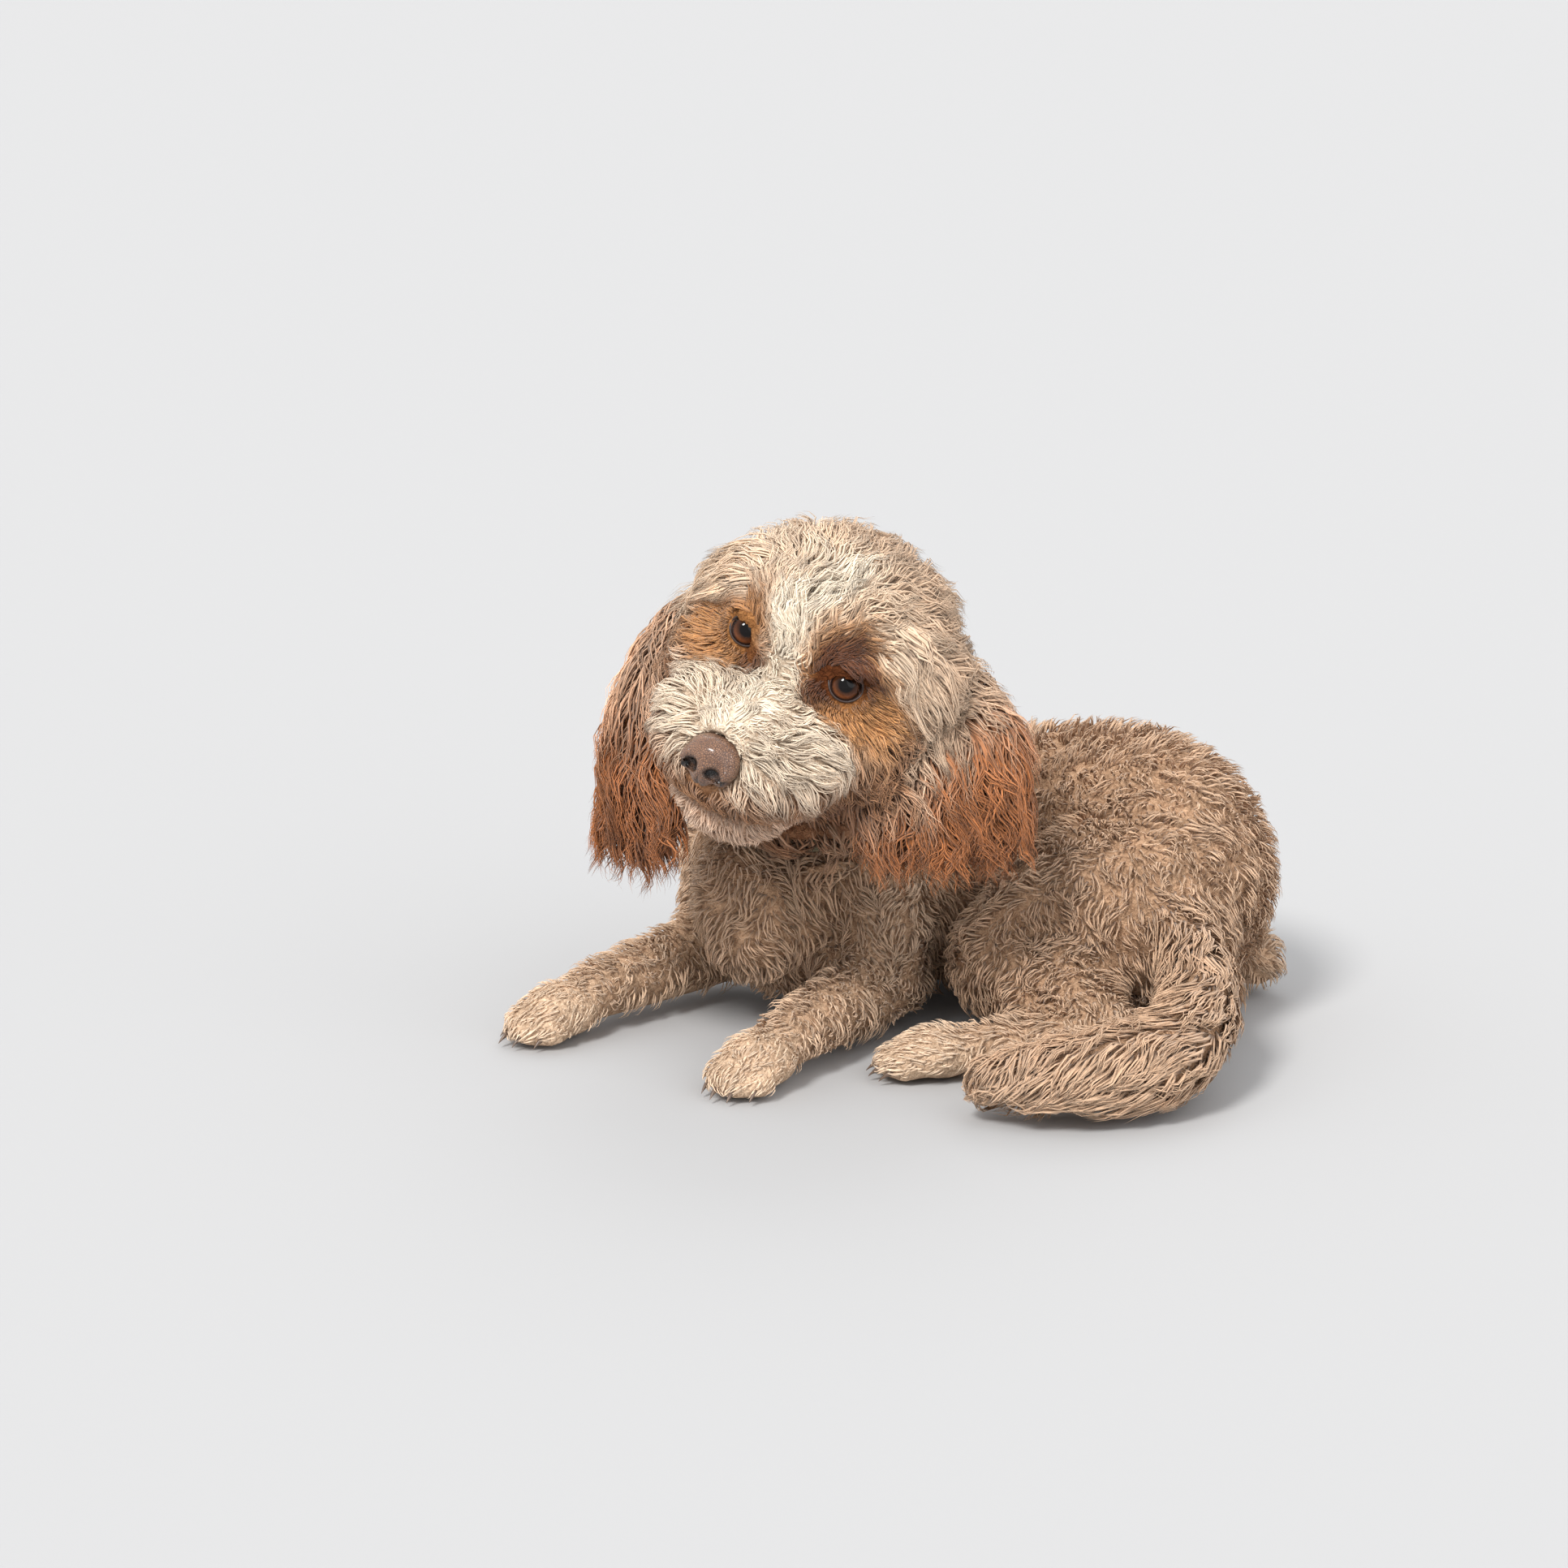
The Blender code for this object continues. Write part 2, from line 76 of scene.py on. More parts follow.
# ---------------------------------------------------------------- workbench

def pick_only(*pieces):
    bpy.ops.object.select_all(action="DESELECT")
    for piece in pieces:
        piece.select_set(True)
    bpy.context.view_layer.objects.active = pieces[0]


def apply_modifier(piece, kind, **settings):
    pick_only(piece)
    modifier = piece.modifiers.new(kind.title(), kind)
    for key, value in settings.items():
        setattr(modifier, key, value)
    bpy.ops.object.modifier_apply(modifier=modifier.name)


def in_edit(piece, *steps):
    pick_only(piece)
    bpy.ops.object.mode_set(mode="EDIT")
    bpy.ops.mesh.select_all(action="SELECT")
    for step in steps:
        step()
    bpy.ops.object.mode_set(mode="OBJECT")


def points_of(piece):
    co = np.empty(len(piece.data.vertices) * 3, np.float32)
    piece.data.vertices.foreach_get("co", co)
    return co.reshape(-1, 3).astype(float)


def normals_of(piece):
    no = np.empty(len(piece.data.vertices) * 3, np.float32)
    piece.data.vertices.foreach_get("normal", no)
    return no.reshape(-1, 3).astype(float)


def set_points(piece, co):
    piece.data.vertices.foreach_set("co", co.astype(np.float32).ravel())
    piece.data.update()


def select_none(mesh):
    for kind in ("vertices", "edges", "polygons"):
        elements = getattr(mesh, kind)
        elements.foreach_set("select", np.zeros(len(elements), bool))


def edges_of(piece):
    edges = np.empty(len(piece.data.edges) * 2, np.int32)
    piece.data.edges.foreach_get("vertices", edges)
    return edges.reshape(-1, 2)


def store_colour(mesh, name, table):
    """Keeps four numbers a point on the mesh, for its material to read."""
    attribute = mesh.attributes.new(name, "FLOAT_COLOR", "POINT")
    attribute.data.foreach_set("color", np.asarray(table, np.float32).ravel())


def add_to_scene(name, data):
    thing = bpy.data.objects.new(name, data)
    bpy.context.scene.collection.objects.link(thing)
    return thing


def add_sphere(segments, rings, name="ball"):
    bpy.ops.object.select_all(action="DESELECT")
    bpy.ops.mesh.primitive_uv_sphere_add(segments=segments, ring_count=rings, radius=1.0)
    ball = bpy.context.object
    ball.name = ball.data.name = name
    return ball


def cover_in(piece, material):
    piece.data.materials.append(material)
    pick_only(piece)
    bpy.ops.object.shade_smooth()


def tree_of(points):
    tree = KDTree(len(points))
    for index, point in enumerate(points):
        tree.insert(point, index)
    tree.balance()
    return tree


def cad_copy(name, nodes, grow=0.0):
    """A merged copy of CAD nodes, each swollen by the same amount so that neighbours run together."""
    copies = []
    for node in nodes:
        copy = add_to_scene(node + "_copy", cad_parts[node].data.copy())
        copy.data.materials.clear()
        in_edit(copy, lambda: bpy.ops.mesh.remove_doubles(threshold=1e-5))
        if grow:
            apply_modifier(copy, "DISPLACE", strength=grow, mid_level=0.0)
        copies.append(copy)
    pick_only(*copies)
    if len(copies) > 1:
        bpy.ops.object.join()
    copies[0].name = name
    copies[0].data.name = name
    pick_only(copies[0])
    bpy.ops.mesh.customdata_custom_splitnormals_clear()
    return copies[0]


def remesh(piece, voxel):
    apply_modifier(piece, "REMESH", mode="VOXEL", voxel_size=voxel, adaptivity=0.0)


def smooth(piece, factor, times):
    apply_modifier(piece, "SMOOTH", factor=factor, iterations=times)


def keep_largest(piece):
    """Drops small loose crumbs and inner shells."""
    edges = edges_of(piece)
    label = np.arange(len(piece.data.vertices))
    while True:
        low = np.minimum(label[edges[:, 0]], label[edges[:, 1]])
        fresh = label.copy()
        np.minimum.at(fresh, edges[:, 0], low)
        np.minimum.at(fresh, edges[:, 1], low)
        fresh = fresh[fresh]
        if np.array_equal(fresh, label):
            break
        label = fresh
    largest = np.bincount(label).argmax()
    drop = label != largest
    if not drop.any():
        return
    pick_only(piece)
    select_none(piece.data)
    piece.data.vertices.foreach_set("select", drop)
    bpy.ops.object.mode_set(mode="EDIT")
    bpy.ops.mesh.select_mode(type="VERT")
    bpy.ops.mesh.delete(type="VERT")
    bpy.ops.object.mode_set(mode="OBJECT")


def step_up(low, high, value):
    t = np.clip((value - low) / (high - low), 0, 1)
    return t * t * (3 - 2 * t)


def step_down(low, high, value):
    return 1 - step_up(low, high, value)


def blend(a, b, share_of_b):
    return a * (1 - share_of_b) + b * share_of_b


def columns(*values):
    """Stacks coordinates, numbers and arrays alike, as rows of a table."""
    return np.stack(np.broadcast_arrays(*values), 1)


def along_surface(vectors, normals):
    return vectors - normals * np.sum(vectors * normals, 1, keepdims=True)


def unit(vectors):
    return vectors / np.maximum(np.linalg.norm(vectors, axis=-1, keepdims=True), 1e-12)


def ripple(points, size, seed=0.0):
    """A smooth random value from -1 to 1 at each point."""
    shift = Vector((seed, seed * 1.7, -seed))
    return np.array([noise.noise(Vector(p) / size + shift) for p in points])


# ---------------------------------------------------------------- the head's own frame

def centre(node):
    low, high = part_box(node)
    return (low + high) / 2


EYES = {"left": centre("eye_left"), "right": centre("eye_right")}
EYE_RADIUS = (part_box("eye_left")[1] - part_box("eye_left")[0]).x / 2
HEAD_AT = (EYES["left"] + EYES["right"]) / 2
HEAD_X = (EYES["left"] - EYES["right"]).normalized()
to_nose = centre("nose") - HEAD_AT
to_nose -= HEAD_X * to_nose.dot(HEAD_X)
NOSE_DROP = math.atan2(31.7, 74.6)
HEAD_FORWARD = Matrix.Rotation(-NOSE_DROP, 3, HEAD_X) @ to_nose.normalized()
HEAD_Z = HEAD_X.cross(-HEAD_FORWARD).normalized()
HEAD_AXES = np.array([HEAD_X, -HEAD_FORWARD, HEAD_Z])


def to_head(points):
    """Places in millimetres from the midpoint of the eyes, along the head's own axes."""
    return (np.asarray(points) - np.array(HEAD_AT)) @ HEAD_AXES.T / MM


def head_turn(vectors):
    return np.asarray(vectors, float) @ HEAD_AXES


# ---------------------------------------------------------------- skin

def part_kind(node):
    return node.split("_")[0]


cad_tree_points, cad_tree_parts = [], []
for part_index, node in enumerate(FLESH):
    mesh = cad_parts[node].data
    co = points_of(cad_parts[node])
    tri = np.empty(len(mesh.polygons) * 3, np.int32)
    mesh.polygons.foreach_get("vertices", tri)
    mids = co[tri.reshape(-1, 3)].mean(1)
    cad_tree_points.append(np.vstack([co, mids]))
    cad_tree_parts.append(np.full(len(co) + len(mids), part_index))
cad_tree_points = np.vstack(cad_tree_points)
cad_tree_parts = np.concatenate(cad_tree_parts)
cad_tree = tree_of(cad_tree_points)


def parts_at(points):
    return cad_tree_parts[[cad_tree.find(p)[1] for p in points]]


def neighbour_mean(piece, values, times):
    """Evens out a value over the mesh."""
    a, b = edges_of(piece).T
    shape = (len(values),) + (1,) * (values.ndim - 1)
    count = np.bincount(np.concatenate([a, b]), minlength=len(values)).reshape(shape) + 1.0
    for _ in range(times):
        total = values.copy()
        np.add.at(total, a, values[b])
        np.add.at(total, b, values[a])
        values = total / count
    return values


def eye_distance(h):
    """Distance in millimetres from the nearer eye."""
    return np.sqrt((np.abs(h[:, 0]) - EYE_SPREAD) ** 2 + h[:, 1] ** 2 + h[:, 2] ** 2)


def nose_distance(h):
    return np.linalg.norm(h - NOSE_MIDDLE, axis=1)


def depth_at(points, parts):
    depth = np.array([COAT_DEPTH[part_kind(node)] for node in FLESH])[parts]
    h = to_head(points)
    on_head = np.isin(parts, (FLESH.index("head"), FLESH.index("muzzle")))
    face = on_head & (h[:, 1] < 25)
    near_eye = step_down(16, 32, eye_distance(h))
    depth = np.where(face, blend(depth, 2.8, near_eye), depth)
    stop = step_down(10, 26, np.abs(h[:, 0])) * step_down(4, 26, h[:, 2]) * (h[:, 1] < 5)
    depth = np.where(face, depth * (1 - 0.5 * stop), depth)
    chin = step_up(56, 66, -h[:, 2]) * (h[:, 1] < 0) * on_head
    depth = blend(depth, 4.0, chin)
    nose_near = step_down(11, 26, nose_distance(h))
    return blend(depth, 2.0, nose_near)


def fill_eye(at):
    ball = add_sphere(48, 24)
    set_points(ball, points_of(ball) * EYE_FILL_RADIUS + np.array(at))
    return ball


def around_eye(points, at):
    """From an eye's centre: the way to each point, its distance, and its angle off the gaze in degrees."""
    away = points - np.array(at)
    reach = np.linalg.norm(away, axis=1)
    gaze = np.array((LOOKS_AT - at).normalized())
    angle = np.degrees(np.arccos(np.clip((away / np.maximum(reach, 1e-9)[:, None]) @ gaze, -1, 1)))
    return away, reach, angle


def make_skin():
    skin = cad_copy("skin", FLESH, grow=JOIN_SWELL)
    remesh(skin, JOIN_VOXEL)
    keep_largest(skin)
    smooth(skin, 0.5, 6)
    co = points_of(skin)
    parts = parts_at(co)
    depth = neighbour_mean(skin, depth_at(co, parts), 8)
    for _ in range(4):
        set_points(skin, points_of(skin) - normals_of(skin) * (depth * MM / 4)[:, None])
        smooth(skin, 0.3, 2)
    pick_only(skin, *[fill_eye(at) for at in EYES.values()])
    bpy.ops.object.join()
    remesh(skin, SKIN_VOXEL)
    keep_largest(skin)
    smooth(skin, 0.5, 3)
    co = points_of(skin)
    co[:, 2] = np.maximum(co[:, 2], SKIN_FLOOR_GAP)
    for at in EYES.values():
        away, reach, angle = around_eye(co, at)
        inside = (angle < 64) & (reach < 0.017)
        wanted = np.where(angle < 53, 0.0085, np.minimum(0.0085 + (angle - 53) / 6 * 0.0035, 0.0120))
        co = np.where((inside & (reach > wanted))[:, None], np.array(at) + unit(away) * wanted[:, None], co)
    h = to_head(co)
    crease = np.exp(-((h[:, 2] + MOUTH_DROP + 0.10 * np.abs(h[:, 0])) / 1.8) ** 2)
    crease *= (h[:, 1] < -38) * step_down(20, 32, np.abs(h[:, 0]))
    co = co + head_turn(np.array([[0.0, 1.0, 0.0]])) * (0.0028 * crease)[:, None]
    set_points(skin, co)
    pick_only(skin)
    bpy.ops.object.shade_smooth()
    return skin


LOOKS_AT = HEAD_AT + Vector(LOOK_OFFSET)
skin = make_skin()
skin_points = points_of(skin)
skin_normals = normals_of(skin)
skin_parts = parts_at(skin_points)
skin_kinds = np.array([part_kind(node) for node in FLESH])[skin_parts]
head_places = to_head(skin_points)
on_head = np.isin(skin_kinds, ("head", "muzzle"))


# ---------------------------------------------------------------- markings

def share(mask, times=3):
    return np.clip(neighbour_mean(skin, mask.astype(float), times), 0, 1)


def coat_markings():
    """How much of each colour shows at each place, over the cream ground colour; the jaw, the mouth line and
    the dog's left of the head carry painted shade too.
    """
    h, co = head_places, skin_points
    x, y, z = h.T
    broad = ripple(co, 0.016, 3.1)
    fine = ripple(co, 0.006, 8.4)
    d_eye = eye_distance(h) + 2.5 * broad + 1.5 * fine
    outer = np.clip((np.abs(x) - EYE_SPREAD) / 30, 0, 1)
    above, below = np.clip((z - 4) / 14, 0, 1), np.clip(-z / 16, 0, 1)
    rust = step_down(18, 25, d_eye - 6 * outer + 4 * above - 4 * below) * on_head * (np.abs(x) > 9)
    d_brow = np.hypot(np.hypot(0.75 * (np.abs(x) - 31), y + 3), z - 8) + 2 * fine
    brow = step_down(12, 19, d_brow) * step_up(10, 15, np.abs(x)) * on_head * np.where(x > 0, 1.15, 0.45)
    wide_brow = step_down(15, 22, d_brow + np.where(x > 0, 0, 5))
    rust = np.maximum(rust, wide_brow * step_up(9, 13, np.abs(x)) * on_head)
    tear = step_down(5, 12, np.hypot(np.hypot(np.abs(x) - 20, y + 12), z + 5) + fine) * on_head
    middle = -4 + 0.10 * np.maximum(z, 0)
    half = 7 + 0.20 * np.maximum(z, 0)
    blaze = step_down(0.5, 1.5, np.abs(x - middle) / half + 0.3 * fine) * step_up(-20, -4, z)
    blaze *= step_down(38, 62, z) * (y < 30) * on_head
    snout = step_up(10, 22, -y) * step_down(22, 44, -z - 4 + 3 * broad) * (z < 8) * on_head
    white = np.clip(blaze + 0.6 * snout, 0, 1) * (1 - rust)
    lip = step_up(25, 42, -z + 3 * broad + 0.5 * np.clip(y + 40, 0, 40)) * (y < 14) * on_head
    chin = step_up(59, 63, -z) * (y < -4) * (np.abs(x) < 34) * on_head
    # A thin dark line along the mouth: painted shade in the crease between the lips.
    mouth_line_shade = np.exp(-((z + MOUTH_DROP + 0.10 * np.abs(x)) / 2.2) ** 2)
    mouth_line_shade *= (y < -38) * step_down(16, 28, np.abs(x)) * on_head
    # Under the jaw: dark rust fur, darkened further with painted shade under the head.
    shaded_jaw = step_up(48, 70, -z + 4 * broad) * (y > -10) * on_head
    ears = skin_kinds == "ear"
    height = co[:, 2]
    top = np.where(x > 0, 0.222, 0.212)
    copper = ears * (0.60 + 0.40 * step_up(-0.03, 0.025, top - height + 0.010 * broad + 0.004 * fine))
    front = np.isin(skin_kinds, ("neck", "chest")) * step_up(0.01, 0.05, -co[:, 1] - 0.02)
    throat = front * step_up(0.085, 0.125, height + 0.006 * broad)
    copper = np.clip(copper + 0.8 * throat + 0.45 * shaded_jaw, 0, 1)
    # Fawn towards the back of the head is the coat's own colour; its skew towards the dog's left, the side
    # away from the key light, is painted shade.
    back_and_shaded_side = step_up(18, 54, y + 0.30 * x) * on_head
    body = np.isin(skin_kinds, ("chest", "belly", "rump", "thigh", "neck", "tail")) * 1.0
    limbs = np.isin(skin_kinds, ("foreleg", "hindleg")) * 0.7
    feet = np.isin(skin_kinds, ("forepaw", "hindpaw")) * 0.12
    fawn = np.clip(body + limbs + feet + 0.7 * back_and_shaded_side, 0, 1) * (1 - 0.8 * throat)
    # Dark: the brow and tear marks, and the painted shade of the mouth line.
    dark = np.clip(0.9 * brow + 0.8 * tear + 0.8 * mouth_line_shade, 0, 1)
    return {
        "white": share(white), "rust": share(rust, 2), "copper": share(copper, 5), "fawn": share(fawn, 6),
        "lip": share(lip), "chin": share(chin), "dark": share(dark, 1), "shaded_jaw": share(shaded_jaw),
    }


marks = coat_markings()
MARK_LAYERS = {
    "markings": ("white", "rust", "copper", "fawn"),
    "markings_more": ("lip", "chin", "dark", "shaded_jaw"),
}


def mark_mesh(mesh, values):
    for layer, names in MARK_LAYERS.items():
        store_colour(mesh, layer, np.stack([values[name] for name in names], 1))


mark_mesh(skin.data, marks)


# ---------------------------------------------------------------- lie of the coat

def limb_line(*nodes):
    return [np.array(centre(node)) for node in nodes]


def along_line(points, line):
    """The direction of the nearest stretch of a line."""
    best = np.full(len(points), 1e9)
    direction = np.zeros((len(points), 3))
    for a, b in zip(line, line[1:]):
        t = np.clip((points - a) @ (b - a) / ((b - a) @ (b - a)), 0, 1)
        gap = np.linalg.norm(points - (a + t[:, None] * (b - a)), axis=1)
        nearer = gap < best
        best = np.where(nearer, gap, best)
        direction[nearer] = unit(b - a)
    return direction


def head_lie(h):
    x, y, z = h.T
    crown = columns(1.3 * x + 4, 0.5 * (y + 70), 0.9 * (z + 12))
    side = np.abs(x) / 60
    crown[:, 2] -= 75 * side ** 2
    crown = unit(crown)
    cheek = unit(columns(0.25 * np.sign(x), 0.75, -0.75))
    bridge = unit(columns(0.9 * np.tanh(x / 9), 0.75, -0.05 - 0.8 * step_up(8, 28, np.abs(x))))
    nose_out = unit(columns(x, y + 70, z + 28))
    near_nose = step_down(14, 32, nose_distance(h))[:, None]
    bridge = blend(bridge, nose_out, near_nose)
    lip = unit(columns(0.5 * np.tanh(x / 10), 0.35, -1))
    low = step_up(30, 46, -z)[:, None]
    bridge = blend(bridge, lip, low)
    eye = columns(np.sign(x) * 20.0, -9, -3)
    patch = unit(h - eye + columns(np.sign(x) * 3, 6, -5))
    snout = (step_up(2, 16, -y) * step_down(-2, 12, z))[:, None]
    upper = step_up(-6, 10, z)[:, None]
    lie = blend(blend(cheek, crown, upper), bridge, snout)
    by_eye = step_down(15, 27, eye_distance(h))[:, None]
    lie = blend(lie, patch, by_eye)
    ball = columns(np.sign(x) * EYE_SPREAD, 0, 0)
    away = unit(h - ball)
    inward = np.minimum(0, np.sum(lie * away, 1)) * step_down(24, 38, eye_distance(h))
    lie = lie - 1.2 * away * inward[:, None]
    rim = step_down(13, 18, eye_distance(h))[:, None]
    return blend(lie, away, rim)


SPINE = limb_line("neck", "chest", "belly", "rump", "tail_base", "tail_tip")
LIMBS = {}
for side in ("left", "right"):
    for line in (
        ("chest", "foreleg_" + side, "forepaw_" + side),
        ("rump", "thigh_" + side, "hindleg_" + side),
        ("thigh_" + side, "hindleg_" + side, "hindpaw_" + side),
    ):
        LIMBS[line[1]] = limb_line(*line)
    LIMBS["forepaw_" + side] = limb_line("foreleg_" + side, "forepaw_" + side)
    LIMBS["hindpaw_" + side] = limb_line("hindleg_" + side, "hindpaw_" + side)


def lie_of_coat():
    lie = np.zeros_like(skin_points)
    down = np.array([0, 0, -1.0])
    for index, node in enumerate(FLESH):
        own = skin_parts == index
        if not own.any():
            continue
        points = skin_points[own]
        kind = part_kind(node)
        if kind in ("head", "muzzle"):
            lie[own] = head_turn(head_lie(head_places[own])) + 0.25 * down
        elif kind == "ear":
            splay = (points - np.array(centre(node))) * np.array([1, 1, 0])
            lie[own] = down + 6.0 * splay
        elif node in LIMBS:
            lie[own] = along_line(points, LIMBS[node]) + 0.3 * down * (kind == "thigh")
        elif kind == "tail":
            lie[own] = along_line(points, SPINE)
        else:
            front = step_up(0.0, 0.05, -points[:, 1] - 0.02)[:, None]
            lie[own] = along_line(points, SPINE) * (1 - 0.9 * front) + (0.5 + front) * down
    for _ in range(3):
        lie = unit(along_surface(neighbour_mean(skin, lie, 6), skin_normals))
    return lie


lie = lie_of_coat()

# How each kind of coat grows: length, width and wave in millimetres, waves per lock, how far it swirls in
# radians, how strongly neighbouring locks gather, and how high it stands against the coat's depth.
MEASURES = ("length", "width", "wave", "turns", "swirl", "gather", "rise")
COATS = {
    "topknot": (23, 1.8, 3.2, 1.7, 0.70, 0.66, 1.10),
    "short": (6.5, 0.9, 0.3, 0.5, 0.20, 0.30, 0.9),
    "muzzle": (19, 1.3, 2.3, 1.0, 0.60, 0.70, 1.2),
    "chin": (11, 1.1, 1.0, 0.7, 0.5, 0.50, 1.0),
    "ear": (46, 1.8, 4.4, 1.5, 0.55, 0.76, 1.2),
    "neck": (24, 2.2, 2.4, 0.9, 0.7, 0.60, 1.0),
    "body": (10, 1.7, 1.5, 0.7, 1.5, 0.50, 1.05),
    "leg": (10, 1.7, 1.2, 0.7, 1.0, 0.45, 1.0),
    "paw": (8, 1.5, 0.6, 0.5, 0.4, 0.40, 1.0),
    "tail": (26, 2.2, 2.4, 0.9, 0.5, 0.65, 1.05),
}
KIND_COAT = {
    "head": "topknot", "muzzle": "muzzle", "ear": "ear", "neck": "neck", "chest": "body", "belly": "body",
    "rump": "body", "thigh": "body", "tail": "tail", "foreleg": "leg", "hindleg": "leg", "forepaw": "paw",
    "hindpaw": "paw",
}


def coat_table():
    """Each measure of the coat at each place on the skin."""
    h = head_places
    weights = {name: np.zeros(len(h)) for name in COATS}
    for kind, coat in KIND_COAT.items():
        weights[coat] += skin_kinds == kind
    moves = {
        "muzzle": on_head * step_up(4, 16, -h[:, 1]) * step_down(2, 14, h[:, 2]),
        "chin": on_head * step_up(56, 64, -h[:, 2]) * (h[:, 1] < -2),
        "short": on_head * step_down(17, 26, eye_distance(h)) * (np.abs(h[:, 0]) > 8),
    }
    for name, mask in moves.items():
        for other in weights:
            weights[other] = weights[other] * (1 - mask)
        weights[name] += mask
    table = {}
    for column, key in enumerate(MEASURES):
        value = sum(weights[name] * COATS[name][column] for name in COATS)
        table[key] = neighbour_mean(skin, value, 4)
    temple = on_head * step_up(26, 44, np.abs(h[:, 0])) * step_down(34, 52, h[:, 1])
    temple *= step_up(2, 14, h[:, 2]) * step_down(34, 48, h[:, 2])
    table["length"] *= 1 + 0.6 * temple
    nose_near = step_down(12, 28, nose_distance(h))
    table["length"] *= 1 - 0.5 * nose_near * on_head
    lip_front = step_up(46, 54, -h[:, 2]) * (h[:, 1] < -30) * step_down(12, 30, np.abs(h[:, 0]))
    table["length"] *= 1 - 0.45 * lip_front * on_head
    table["length"] *= 1 - 0.5 * step_down(14, 19, eye_distance(h)) * on_head
    table["length"] *= 1 + 1.4 * marks["copper"] * np.isin(skin_kinds, ("neck", "chest"))
    depth = depth_at(skin_points, skin_parts)
    between = on_head * step_down(14, 27, np.abs(h[:, 0])) * step_down(12, 24, np.abs(h[:, 2]))
    table["length"] *= 1 - 0.35 * between
    table["depth"] = neighbour_mean(skin, depth, 6) * table["rise"] * (1 - 0.55 * between)
    return table


coat = coat_table()
turn = coat["swirl"] * (ripple(skin_points, 0.018, 1.3) + 0.5 * ripple(skin_points, 0.008, 5.2)) * 1.6
sideways = np.cross(skin_normals, lie)
lie = lie * np.cos(turn)[:, None] + sideways * np.sin(turn)[:, None]

forehead_x = head_places[:, 0]
curtain_course = head_turn(columns(
    np.sign(forehead_x) * 0.95, 0.10, -0.45 - 0.9 * step_up(36, 50, np.abs(forehead_x)),
))
curtain_course[~on_head] = lie[~on_head]
curtain_course = unit(along_surface(neighbour_mean(skin, curtain_course, 6), skin_normals))
skin_tree = tree_of(skin_points)


# ---------------------------------------------------------------- locks of hair

def triangles_of(mesh):
    mesh.calc_loop_triangles()
    count = len(mesh.loop_triangles)
    corners = np.empty(count * 3, np.int32)
    mesh.loop_triangles.foreach_get("vertices", corners)
    loops = np.empty(count * 3, np.int32)
    mesh.loop_triangles.foreach_get("loops", loops)
    return corners.reshape(-1, 3), loops.reshape(-1, 3)


skin_triangles, skin_loops = triangles_of(skin.data)


def unwrap_patch(name, faces):
    """Unwraps part of the skin by its own shape, and returns the map's place of each loop."""
    mesh = skin.data
    layer = mesh.uv_layers.new(name=name)
    mesh.uv_layers.active = layer
    pick_only(skin)
    select_none(mesh)
    mesh.polygons.foreach_set("select", faces)
    bpy.ops.object.mode_set(mode="EDIT")
    bpy.ops.mesh.select_mode(type="FACE")
    bpy.ops.uv.smart_project(angle_limit=1.2, island_margin=0.004)
    bpy.ops.object.mode_set(mode="OBJECT")
    layer = mesh.uv_layers[name]
    places = np.empty(len(mesh.loops) * 2, np.float32)
    layer.uv.foreach_get("vector", places)
    places = places.reshape(-1, 2).copy()
    if name != "OFBake":
        mesh.uv_layers.remove(mesh.uv_layers[name])
    return places


def lock_pattern(steps):
    """One lock: three-cornered rings that close in a point, as triangles with their places on its patch."""
    corners, places = [], []
    for k in range(steps - 1):
        for j in range(3):
            a, b = 3 * k + j, 3 * k + (j + 1) % 3
            u0, u1, v0, v1 = j / 3, (j + 1) / 3, k / steps, (k + 1) / steps
            corners += [(a, b, b + 3), (a, b + 3, a + 3)]
            places += [((u0, v0), (u1, v0), (u1, v1)), ((u0, v0), (u1, v1), (u0, v1))]
    last, tip = 3 * (steps - 1), 3 * steps
    for j in range(3):
        u0, u1, v0 = j / 3, (j + 1) / 3, (steps - 1) / steps
        corners.append((last + j, last + (j + 1) % 3, tip))
        places.append(((u0, v0), (u1, v0), ((u0 + u1) / 2, 1.0)))
    corners.append((0, 2, 1))
    places.append(((0.0, 0.0), (0.5, -0.2), (1.0, 0.0)))
    return np.array(corners), np.array(places)


PATCH = 0.003  # side of one lock's place on the OFBake map
FULL_TURN = 6.283


def scatter(faces, weights, count):
    """Places roots evenly by area over chosen triangles of the skin."""
    corners = skin_triangles[faces]
    a, b, c = (skin_points[corners[:, i]] for i in range(3))
    area = np.linalg.norm(np.cross(b - a, c - a), axis=1) / 2 * weights
    edge = np.concatenate([[0], np.cumsum(area)])
    spots = (np.arange(count) + rng.random(count)) / count * edge[-1]
    chosen = np.clip(np.searchsorted(edge, spots, side="right") - 1, 0, len(area) - 1)
    u, v = rng.random(count), rng.random(count)
    over = u + v > 1
    u, v = np.where(over, 1 - u, u), np.where(over, 1 - v, v)
    return faces[chosen], columns(1 - u - v, u, v)


def blended(values, chosen, mix):
    corner = values[skin_triangles[chosen]]
    if values.ndim == 1:
        return np.sum(corner * mix, 1)
    return np.sum(corner * mix[:, :, None], 1)


def nearest_on_skin(points):
    return np.array([skin_tree.find(p)[1] for p in points])


